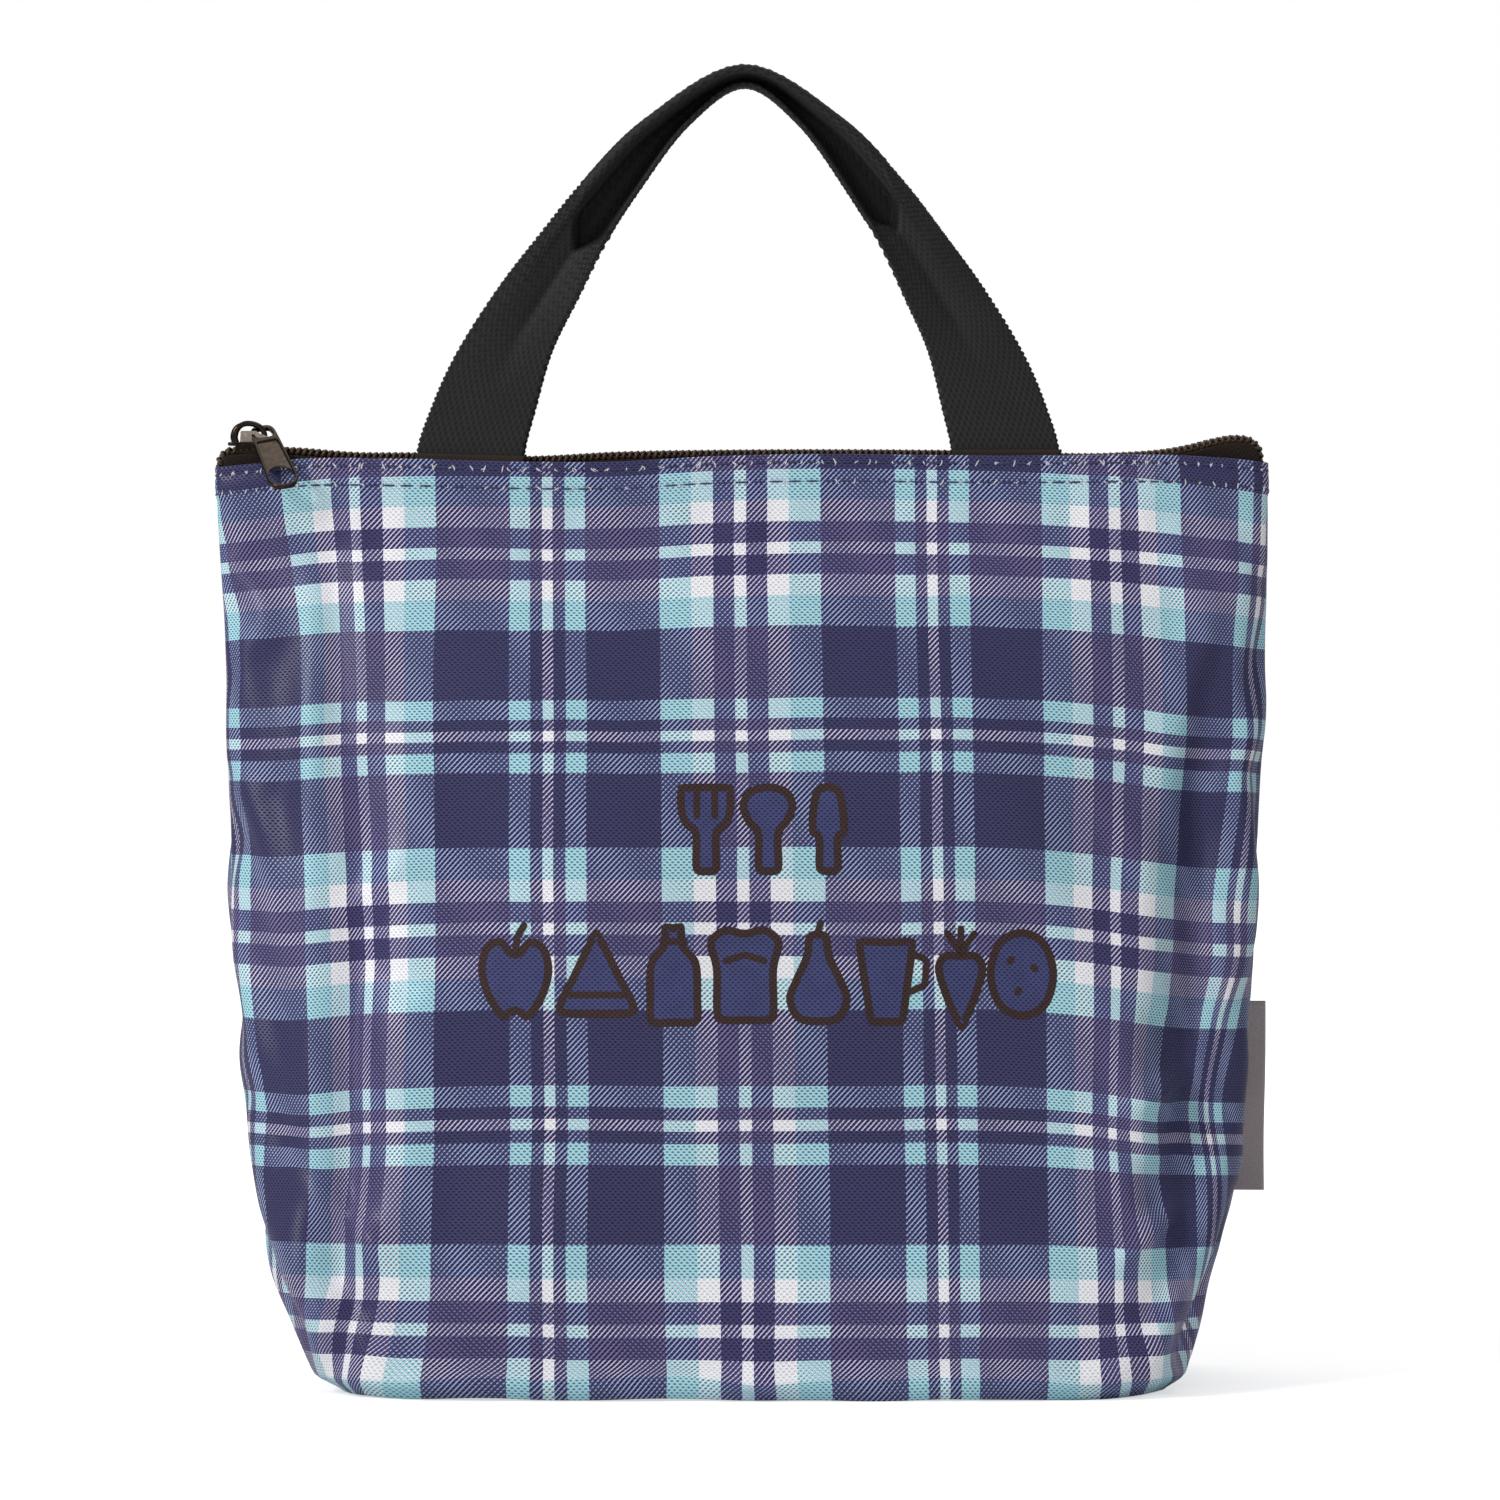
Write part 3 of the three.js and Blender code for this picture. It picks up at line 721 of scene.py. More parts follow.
def herringbone_material():
    """Dark brown zip tape in a herringbone weave."""
    n = Nodes("zip_tape_herringbone", roughness=0.75, Specular_IOR_Level=0.2)
    u, v = n.uv()
    slope = n.math("PINGPONG", u, 1.4)
    lines = n.remap(n.wave(n.math("ADD", slope, v), 0.7), -1, 1)
    n.colour(n.mix(lines, rgb(18, 13, 10), rgb(46, 35, 27)))
    n.bump(lines, 0.5, 0.0002)
    return n.material


def webbing_material():
    """Black polypropylene webbing: the bumps are in the mesh, and this adds the yarns on them, painting
    their tops lighter and their gaps darker as shade, and painting shade inside the curl.
    """
    n = Nodes("webbing_black", roughness=0.62, Sheen_Weight=0.05, Specular_IOR_Level=0.35)
    u, v = n.uv()
    height = n.yarns(u, v, WEB_REPEAT)
    yarn = n.remap(n.wave(n.math("ADD", u, n.math("MULTIPLY", v, 0.6)), 0.34), -1, 1)
    # painted shade: the yarns' gaps dark, their tops light
    shade = n.mix(height, rgb(3, 3, 3), rgb(47, 47, 48))
    # painted shade inside the strap's curl
    inside = n.node("ShaderNodeAttribute", attribute_name="painted_curl_shade").outputs["Fac"]
    shade = n.mix(inside, shade, n.tint(shade, rgb(118, 118, 118)))
    n.colour(n.tint(n.tint(shade, n.remap(yarn, 0, 1, 0.85, 1.1)), n.patches(70, 4, 0.85, 1.15)))
    n.bump(n.math("ADD", height, n.math("MULTIPLY", yarn, 0.3)), 0.5, 0.0002)
    return n.material


def metal_material(name, colour, roughness):
    """Plated metal with fine scuffs and slightly uneven plating."""
    n = Nodes(name, Metallic=1.0)
    n.colour(n.tint(colour, n.patches(400, 4, 0.82, 1.12)))
    n.rough(n.remap(n.noise(900, 5, 0.65), 0.35, 0.65, roughness * 0.75, roughness * 1.35))
    n.bump(n.noise(2500, 3), 0.12, 0.0001)
    return n.material


def coil_material():
    """Glossy dark-brown nylon."""
    n = Nodes("zip_coil_nylon", roughness=0.42, Specular_IOR_Level=0.45)
    n.colour(n.mix(n.patches(500, 3, 0.0, 1.0), rgb(62, 47, 36), rgb(92, 72, 56)))
    n.bump(n.noise(3000, 2), 0.1, 0.0001)
    return n.material


def film_material():
    """Silvery lining film with small creases."""
    n = Nodes("lining_film_silver", roughness=0.35, Metallic=0.85)
    creases = n.noise(220, 5, 0.6)
    n.colour(n.mix(n.remap(creases, 0.35, 0.65), rgb(176, 180, 184), rgb(214, 217, 220)))
    n.bump(creases, 0.6, 0.0006)
    return n.material


def foam_material():
    """White closed-cell foam with small cells."""
    n = Nodes("foam_cells", roughness=0.9)
    cells = n.node("ShaderNodeTexVoronoi")
    n.plug(n.place(), cells.inputs["Vector"])
    cells.inputs["Scale"].default_value = 900
    n.colour(n.mix(n.remap(cells.outputs[0], 0, 0.7), rgb(206, 206, 202), rgb(238, 238, 234)))
    n.bump(cells.outputs[0], 0.4, 0.0003)
    return n.material


WEB_REPEAT = (1.45, 2.72)  # one repeat of the webbing's weave across and along the strap
PLAID = plaid_material()
PRINT_BROWN = print_material("print_outline_ink", rgb(50, 31, 29))
PRINT_BLUE = print_material("print_fill_ink", rgb(54, 59, 102))
WEBBING = webbing_material()
FILM = film_material()
FOAM = foam_material()
BINDING = binding_material()
TAPE = herringbone_material()
COIL = coil_material()
FOOT_TAPE = woven_material("foot_tape_brown", rgb(46, 32, 20), (0.8, 1.0))
LABEL = woven_material("label_satin", rgb(176, 164, 166), (0.5, 0.8), 0.6, (0.9, 1.06), 0.04)
THREAD = woven_material("thread_navy", rgb(66, 66, 112), (0.6, 3.0), 0.55, (0.7, 1.3))
LINT = woven_material("thread_core_white", rgb(225, 226, 232), (0.6, 3.0), 0.7, (0.9, 1.05))
GUNMETAL = metal_material("gunmetal_plate", rgb(62, 53, 46), 0.2)
BRONZE = metal_material("puller_pane_bronze", rgb(84, 74, 65), 0.38)
PALE_METAL = metal_material("slider_lock_nickel", rgb(190, 178, 166), 0.3)


# ---------- shell, foam and lining
BASE_ROWS = 18
FINE_TOP, FINE_SPACING = 12, 0.55  # the closest rows, below a sheet's top
SEAM_OPENING = 0.05  # how far the base's seam stands open at its ends
# Each layer of a panel: its CAD node, name, finish and material, how deep it lies and how thick it is in
# mm, its columns, the spacing of its rows and whether it has the hem.
LAYERS = (
    ("panel", "plaid_shell", "plaid_fabric", PLAID, 0.0, 0.7, 295, 1.5, True),
    ("foam", "foam_pad", "foam", FOAM, 1.1, 2.3, 121, 4.0, False),
    ("lining", "lining_film", "lining_film", FILM, 3.9, 0.35, 121, 3.0, False),
)


def row_heights(bottom, top, spacing):
    """Heights of a sheet's rows: even, with closer ones at the base edge and in the hem."""
    low = [bottom, bottom + 0.6, bottom + 1.4, bottom + 2.4]
    middle = np.arange(bottom + 3.6, top - FINE_TOP, spacing)
    high = np.linspace(top - FINE_TOP, top, int(FINE_TOP / min(spacing, FINE_SPACING)))
    return np.concatenate([low, middle, high])


def make_sheet(name, side, material, top, inset, thickness, columns, spacing, hem):
    """One side's sheet from the bottom seam, round the base edge and up to its top."""
    z = row_heights(inset, top, spacing)
    uu, zz = np.meshgrid(np.linspace(-HALF_CLOTH, HALF_CLOTH, columns), z)
    wall, wall_uv = panel_point(uu, zz, side, inset, 0.0, hem), cloth_uv(uu, zz, side)
    edge = wall[0]
    shares = np.linspace(0, 1, BASE_ROWS)[:, None]
    drop = (edge[:, 2] - inset) * (1 - ease(shares, 0, 0.3))
    base = joined(edge[:, 0], edge[:, 1] * (1 - shares), inset + drop)
    base[:, (0, -1), 1] += side * SEAM_OPENING * shares
    base_uv = joined(wall_uv[0, :, 0], wall_uv[0, :, 1] - np.abs(edge[:, 1]) * shares)
    sheet = Pieces()
    sheet.add_grid(wall, wall_uv, flip=side == REAR)
    sheet.add_grid(base, base_uv, flip=side == FRONT)
    obj = sheet.build(name, material)
    modify(obj, "WELD", merge_threshold=0.00002)
    modify(obj, "SOLIDIFY", thickness=thickness * MM, offset=-1)
    for vertex in obj.data.vertices:
        vertex.co.z = max(vertex.co.z, inset * MM)
    return obj


def make_shells():
    for side, side_name in SIDES:
        for cad_word, word, slot, material, *numbers in LAYERS:
            node = side_name + "_" + cad_word
            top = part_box(node)[1].z / MM
            obj = make_sheet(side_name + "_" + word, side, material, top, *numbers)
            settle_piece(obj, "bag", slot, node)


make_shells()


# ---------- hem stitching
STITCH_LENGTH, STITCH_LIFT, STITCH_SUNK = 3.5, 0.3, 0.12
LINT_PROUD = 0.12
ROW_END = 5.5  # a row of stitches stops this far from the side seam
THREAD_RADII = (0.1, 0.2, 0.24, 0.25, 0.24, 0.2, 0.1)
LINT_RADII = (0.08, 0.18, 0.22, 0.18, 0.08)
# How many scraps of lint each needle hole of a row may hold.
LINT_COUNTS = {1: (1, 2, 2), 2: (0, 1, 1)}


def stitch_path(u, z, side):
    """The middle line of one stitch: it comes out of the cloth, lies along it and goes back in."""
    along = np.linspace(-0.5, 0.5, len(THREAD_RADII))
    proud = STITCH_LIFT * (1 - (2 * np.abs(along)) ** 4) - STITCH_SUNK
    return panel_point(u + along * STITCH_LENGTH, z, side, 0.0, proud, hem=True)


def make_stitches():
    half_row = HALF_CLOTH - ROW_END
    for side, side_name in SIDES:
        for number, below in enumerate(STITCH_ROWS, 1):
            rng = random.Random(100 * number + side)
            row, fibres = Pieces(), Pieces()
            u = -half_row
            while u < half_row:
                path = stitch_path(u + rng.uniform(-0.2, 0.2), HEM - below, side)
                row.add(*tube(path, THREAD_RADII, 6))
                for _ in range(rng.choice(LINT_COUNTS[number])):
                    hole = u + STITCH_PITCH / 2 + rng.uniform(-0.9, 0.9)
                    reach = rng.uniform(0.3, 1.0)
                    tilt = rng.uniform(0.5, 2.6)
                    steps = np.linspace(-1, 1, len(LINT_RADII)) * reach
                    curl = rng.uniform(-0.4, 0.4) * (steps / reach) ** 2
                    lint_u = hole + steps * math.cos(tilt) + curl
                    lint_z = HEM - below + steps * math.sin(tilt)
                    lint = panel_point(lint_u, lint_z, side, 0.0, LINT_PROUD, hem=True)
                    fibres.add(*tube(lint, LINT_RADII, 5))
                u += STITCH_PITCH
            for pieces, word, material in ((row, "stitch_row", THREAD), (fibres, "needle_lint", LINT)):
                obj = pieces.build(f"{side_name}_hem_{word}_{number}", material)
                settle_piece(obj, "bag", "plaid_fabric")


make_stitches()


# ---------- printed pictograms
OUTLINE = 1.9  # width of a pictogram's dark outline
# Right halves of the outlines, top to bottom, in half widths and half heights of the pictogram.
APPLE = ((0, 0.5), (0.35, 0.76), (0.8, 0.62), (0.98, 0.1), (0.78, -0.5), (0.36, -0.95), (0, -0.84))
PEAR = ((0, 0.98), (0.3, 0.88), (0.4, 0.45), (0.66, 0.0), (0.86, -0.45), (0.6, -0.9), (0, -1))
BOTTLE = ((0, 1), (0.26, 0.98), (0.32, 0.6), (0.62, 0.25), (0.66, -0.4), (0.6, -0.95), (0, -1))
BREAD = ((0, 0.9), (0.55, 0.96), (0.98, 0.66), (0.84, 0.1), (0.84, -0.7), (0.7, -0.95), (0, -0.98))
CUP = ((0, 0.72), (0.7, 0.72), (0.82, 0.55), (0.66, -0.3), (0.52, -0.9), (0.3, -0.98), (0, -0.98))
SANDWICH = ((0, 0.86), (0.2, 0.66), (0.6, 0), (0.95, -0.58), (0.84, -0.8), (0.4, -0.84), (0, -0.84))
CARROT = ((0, 0.62), (0.42, 0.6), (0.62, 0.3), (0.48, -0.2), (0.24, -0.7), (0, -1))
BISCUIT = ((0, 0.9), (0.64, 0.66), (0.9, 0), (0.64, -0.66), (0, -0.9))
SPOON = ((0, 1), (0.7, 0.86), (0.95, 0.5), (0.74, 0.12), (0.46, -0.14), (0.44, -0.88), (0, -1))
FORK = (
    (0, 1), (0.8, 0.98), (0.95, 0.84), (0.93, 0.36), (0.74, 0.06), (0.46, -0.14), (0.44, -0.88), (0, -1),
)
KNIFE = ((0, 1), (0.5, 0.84), (0.68, 0.3), (0.66, -0.1), (0.46, -0.24), (0.44, -0.88), (0, -1))
# Dark strokes over the fill, in the same units.
STEM = (((0, 0.5), (0.06, 0.8), (0.24, 1.04)),)
PEAR_STEM = (((0, 0.95), (0.08, 1.14)),)
SLOTS = (((-0.3, 0.86), (-0.3, 0.3)), ((0.3, 0.86), (0.3, 0.3)))
FILLING = (((-0.62, -0.4), (0, -0.4), (0.62, -0.4)),)
LEAVES = (((0, 0.6), (-0.3, 1.0)), ((0, 0.6), (0.02, 1.1)), ((0, 0.6), (0.34, 1.0)))
CRUMBS = (((-0.3, 0.26), (-0.26, 0.3)), ((0.3, 0.14), (0.34, 0.1)), ((-0.12, -0.36), (-0.08, -0.32)))
HANDLE = (((0.74, 0.4), (1.12, 0.3), (1.06, -0.2), (0.6, -0.34)),)
CAP = (((-0.26, 0.66), (0.26, 0.66)),)
SLICE = (((-0.5, 0.28), (0, 0.4), (0.5, 0.28)),)
# Middle x, middle z, half width and half height in mm, outline and strokes of each pictogram.
PICTOGRAMS = (
    (-9.5, 137, 7.2, 11, FORK, SLOTS),
    (5.5, 137, 7.2, 11, SPOON, ()),
    (20, 137, 6.8, 11, KNIFE, ()),
    (-55.8, 102.2, 9.2, 11.4, APPLE, STEM),
    (-36.2, 102.4, 10.2, 12.4, SANDWICH, FILLING),
    (-17.6, 102.2, 10.0, 12.2, BOTTLE, CAP),
    (-0.4, 102.2, 9.2, 12.0, BREAD, SLICE),
    (17.2, 101.6, 9.0, 11.4, PEAR, PEAR_STEM),
    (33.6, 102.2, 8.8, 12.2, CUP, HANDLE),
    (51.6, 100.4, 10.0, 11.6, CARROT, LEAVES),
    (66.4, 102.2, 9.4, 12, BISCUIT, CRUMBS),
)


def mirror_outline(half, samples):
    """A closed smooth outline from its right half, mirrored in x."""
    points = np.array(half + tuple((-x, y) for x, y in half[-2:0:-1]), float)
    t = (np.arange(samples) / samples)[:, None]
    rows = []
    for i in range(len(points)):
        a, b, c, d = (points[(i + k) % len(points)] for k in (-1, 0, 1, 2))
        square, cube = 2 * a - 5 * b + 4 * c - d, 3 * b - a - 3 * c + d
        rows.append(0.5 * (2 * b + (c - a) * t + square * t**2 + cube * t**3))
    return np.concatenate(rows)


def grown(outline, distance):
    """The outline moved outwards by distance."""
    tangent = np.roll(outline, -1, 0) - np.roll(outline, 1, 0)
    tangent /= np.linalg.norm(tangent, axis=1)[:, None] + 1e-9
    following = np.roll(outline, -1, 0)
    area = np.sum(outline[:, 0] * following[:, 1] - following[:, 0] * outline[:, 1])
    normal = np.stack([tangent[:, 1], -tangent[:, 0]], 1) * np.sign(area)
    return outline + normal * distance


def stroke_outline(points, width):
    """The outline of a line with round ends."""
    lengths = path_lengths(points)
    steps = np.linspace(0, lengths[-1], 12)
    path = np.stack([np.interp(steps, lengths, part) for part in points.T], 1)
    tangent = np.gradient(path, axis=0)
    tangent /= np.linalg.norm(tangent, axis=1)[:, None]
    normal = np.stack([-tangent[:, 1], tangent[:, 0]], 1) * width / 2
    turn = np.linspace(-np.pi / 2, np.pi / 2, 7)[1:-1, None]
    end = path[-1] + tangent[-1] * np.cos(turn) * width / 2 + normal[-1] * -np.sin(turn)
    start = path[0] - tangent[0] * np.cos(turn) * width / 2 + normal[0] * np.sin(turn)
    return np.concatenate([path + normal, end, (path - normal)[::-1], start])


PRINT_CELL = 2.5
PRINT_CUTS = (((1, 0, 0), -70, 80), ((0, 0, 1), 85, 155))  # direction of the cuts, first and last place


def make_print(name, outlines, material, proud):
    """Flat outlines cut into small faces and laid on the front cloth."""
    bm = bmesh.new()
    for outline in outlines:
        vertices = [bm.verts.new((x, 0, z)) for x, z in outline]
        edges = [bm.edges.new((a, b)) for a, b in zip(vertices, vertices[1:] + vertices[:1])]
        bmesh.ops.triangle_fill(bm, edges=edges, use_beauty=True, use_dissolve=False)
    for across, low, high in PRINT_CUTS:
        for place in np.arange(low, high, PRINT_CELL):
            everything = bm.verts[:] + bm.edges[:] + bm.faces[:]
            at = Vector(across) * place
            bmesh.ops.bisect_plane(bm, geom=everything, plane_co=at, plane_no=across, dist=0.0001)
    bm.verts.ensure_lookup_table()
    flat = np.array([v.co for v in bm.verts])
    faces = []
    for face in bm.faces:
        order = [v.index for v in face.verts]
        faces.append(order if face.normal.y < 0 else order[::-1])
    bm.free()
    points = panel_point(flat[:, 0], flat[:, 2], FRONT, 0.0, proud)
    obj = new_object(name, points, faces, material, cloth_uv(flat[:, 0], flat[:, 2], FRONT))
    settle_piece(obj, "bag", "plaid_fabric")


def make_prints():
    outlines, strokes = [], []
    for x, z, half_width, half_height, half_outline, marks in PICTOGRAMS:
        scale, middle = np.array([half_width, half_height]), np.array([x, z])
        outlines.append(mirror_outline(half_outline, 16) * scale + middle)
        for mark in marks:
            strokes.append(stroke_outline(np.array(mark) * scale + middle, OUTLINE * 0.85))
    make_print("print_outlines", outlines, PRINT_BROWN, 0.06)
    make_print("print_fills", [grown(shape, -OUTLINE) for shape in outlines], PRINT_BLUE, 0.1)
    make_print("print_strokes", strokes, PRINT_BROWN, 0.14)


make_prints()


# ---------- zip
COIL_LOOP = (1.35, 0.79)  # half depth and half height of one loop
COIL_PITCH = 1.57
COIL_WIRE = 0.42  # half the thickness of the wire
COIL_DEPTH = 1.5  # from the zip's middle to the middle of each coil
LOOP_POINTS = 12  # mesh rings in one loop
TAPE_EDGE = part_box("front_zip_tape")[1].x / MM
TAPE_THICK = 0.35
TAPE_ROWS = 15
TAPE_SEAM = 3.2  # the tape starts this far below the hem's edge
TAPE_TOP = 231  # and comes no higher than this
TAPE_DEPTH = 4.35  # from the zip's middle to the tape at its seam
# The coil's middle from end to end: (x, height). It dips by the left strap and rises at the right end.
COIL_LINE = (
    (-128.2, 224.6), (-128.0, 226.8), (-126.6, 228.3), (-124, 228.75), (-111, 228.6), (-95, 227.4),
    (-80, 227.3), (-53, 226.4), (-30, 227.5), (0, 228.0), (60, 227.8), (92, 227.3), (106, 228.5),
    (110.5, 229.4), (116, 230.8), (121.5, 231.6), (125, 231.0), (126.8, 229.2), (127.2, 226.6),
    (127.2, 224.6),
)


def coil_path(count):
    """Evenly spaced points along the coil's middle: x, height and the distance along it."""
    knots = path_lengths(COIL_LINE)
    line = smooth_path(knots, COIL_LINE, np.linspace(0, knots[-1], 3000))
    length = path_lengths(line)
    steps = np.linspace(0, length[-1], count)
    return np.interp(steps, length, line[:, 0]), np.interp(steps, length, line[:, 1]), steps


def make_coils():
    turns = int(coil_path(2)[2][-1] / COIL_PITCH)
    x, z, along = coil_path(turns * LOOP_POINTS + 1)
    dx, dz = np.gradient(x), np.gradient(z)
    size = np.hypot(dx, dz)
    for side, side_name in SIDES:
        angle = along / COIL_PITCH * 2 * np.pi + (np.pi if side == REAR else 0)
        lift = COIL_LOOP[1] * np.sin(angle)
        depth = side * (COIL_DEPTH + COIL_LOOP[0] * np.cos(angle))
        coil = Pieces()
        coil.add(*tube(np.stack([x - dz / size * lift, depth, z + dx / size * lift], 1), COIL_WIRE, 7))
        name = side_name + "_zip_coil"
        settle_piece(coil.build(name + "_loops", COIL), "bag", "zip_coil", name)


def make_zip_tapes():
    """Tape from the seam inside the hem, up behind it and over to the coil."""
    x = np.linspace(-TAPE_EDGE - 1.2, TAPE_EDGE + 1.6, 300)
    path_x, path_z, _ = coil_path(2000)
    keep = np.concatenate([[True], np.diff(path_x) > 0.001])
    coil_z = np.interp(x, path_x[keep], path_z[keep])
    crest = np.minimum(coil_z - COIL_LOOP[1] - TAPE_THICK, TAPE_TOP)
    ends = ease(np.abs(x), TAPE_EDGE - 7, TAPE_EDGE)
    share = np.linspace(0, 1, TAPE_ROWS)[:, None]
    depth = TAPE_DEPTH - 0.25 * share - 3.5 * ease(share, 0.62, 1) + 0.4 * ends
    for side, side_name in SIDES:
        seam = HEM + np.interp(x, *np.transpose(HEM_LINE[side])) - TAPE_SEAM
        height = seam * (1 - share) + crest * share
        height = np.where(share > 0.72, crest, height + (crest - height) * ease(share, 0.3, 0.72))
        grid, uv = joined(x, side * depth, height), joined(x, np.arange(TAPE_ROWS)[:, None] * 0.55)
        name = side_name + "_zip_tape"
        obj = grid_sheet(name + "_band", grid, uv, TAPE, TAPE_THICK, flip=side == REAR)
        settle_piece(obj, "bag", "zip_tape", name)


make_coils()
make_zip_tapes()


# ---------- handles
STRAP_WIDTH = 25.0
STRAP_THICK = 1.15
STRAP_SPACING = 0.45  # between the rows of its mesh
STRAP_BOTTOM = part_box("front_left_strap_end")[0].z / MM
STRAP_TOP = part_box("front_handle_strap")[1].z / MM
STRAP_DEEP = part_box("front_handle_strap")[0].y / MM + STRAP_THICK / 2
HINGE_Z = 228.0
FOOT_Y = -5.2
FOOT_X, FOOT_HALF = 65.8, 13.4  # a foot tape's middle and its half width
FOOT_INSET, FOOT_SHOWS, FOOT_THICK = 1.25, 1.5, 0.3  # how deep it lies, shows above the hem, its thickness
SEWN_INSET = 2.3  # how deep under the panel's face the middle of a sewn end lies
# The right half of the strap's two edges as the front shows them: (x, z), from the sewn end to the top.
OUTER_EDGE = (
    (78.8, 212.5), (78.8, 221), (78.7, 228), (75.3, 239.1), (70.4, 250.3), (59.8, 267.5), (49.4, 281.2),
    (39.7, 293.3), (23.6, 309.4), (0, 322.1),
)
INNER_EDGE = (
    (53.0, 212.5), (52.9, 221), (52.8, 228), (50.1, 240), (46.9, 252), (40.2, 266.2), (32.9, 280.9),
    (25.5, 292.6), (13.4, 308.8), (0, 318.0),
)
# The strap across its width, from the outer edge to the inner one: (share of the width, place between the
# two edges, depth). It is open towards the front.
FLAT_PROFILE = (
    (0, 0, 0.15), (0.2, 0.2, 0.1), (0.45, 0.45, 0.55), (0.58, 0.58, 1), (0.7, 0.7, 0.7), (1, 1, 0.1),
)
CURLED_PROFILE = (
    (0, 0, 0.12), (0.08, 0.1, 0), (0.15, 0.18, 0.03), (0.22, 0.23, 0.3), (0.32, 0.26, 0.8),
    (0.42, 0.36, 1), (0.55, 0.58, 1), (0.68, 0.78, 0.98), (0.8, 0.92, 0.85), (0.9, 0.975, 0.55),
    (0.96, 0.99, 0.36), (1, 1, 0.3),
)
FLAT_DEPTH = 2.2  # how deep the flat strap cups
STRAP_SHIFT = (-0.9, 0.7)  # how far right the strap stands at its feet and at its top
# How dark the inside of the curl is painted, as shade.
CURL_PAINTED_SHADE = ((0, 0), (0.16, 0), (0.21, 1), (0.9, 1), (0.97, 0.3), (1, 0))  # (share of the width, shade)
# The mouth where the flat strap starts to curl: (share of the width, height).
MOUTH = ((0, 291), (0.22, 287), (0.45, 280.5), (0.6, 276), (0.8, 277), (1, 278.5))
MOUTH_RISE = (2.5, 7.0)  # the left mouth and the right one open this much higher
CUPS = (240, 272)  # heights between which the flat strap cups to FLAT_DEPTH
CURLS = (262, 292)  # heights between which its edges move to the curled profile
DEEPEST_CURL = 14.0
SERRATION, RIBS = 0.11, 0.2  # how far the weave stands out at the strap's edges and on its face
REAR_STRAP = (0.3, 2.5)  # how much further right and up the rear strap stands at its top


def whole_arch(half):
    """Both halves of an edge, left foot to right foot, from its right half."""
    half = np.array(half, float)
    return np.concatenate([half[:-1] * (-1, 1), half[::-1]])


def edge_curves(steps):
    """The outer and the inner edge of the whole arch at steps from 0 to 1."""
    outer, inner = whole_arch(OUTER_EDGE), whole_arch(INNER_EDGE)
    knots = path_lengths(outer + inner)
    knots /= knots[-1]
    return smooth_path(knots, outer, steps), smooth_path(knots, inner, steps)


def profile(share, points):
    """Place between the strap's edges and depth at share of its width."""
    return [smooth_curve(share, np.array(points)[:, (0, k)]) for k in (1, 2)]


def curl_depths(half_span):
    """How deep the curled profile is when the strap keeps its width across a narrower span."""
    share, place, depth = np.array(CURLED_PROFILE).T
    fine = np.linspace(0, 1, 60)
    place, depth = np.interp(fine, share, place), np.interp(fine, share, depth)
    low, high = np.zeros(len(half_span)), np.full(len(half_span), DEEPEST_CURL)
    for _ in range(24):
        middle = (low + high) / 2
        across = 2 * half_span[:, None] * np.diff(place)
        length = np.hypot(across, middle[:, None] * np.diff(depth)).sum(1)
        low = np.where(length < STRAP_WIDTH, middle, low)
        high = np.where(length < STRAP_WIDTH, high, middle)
    return low


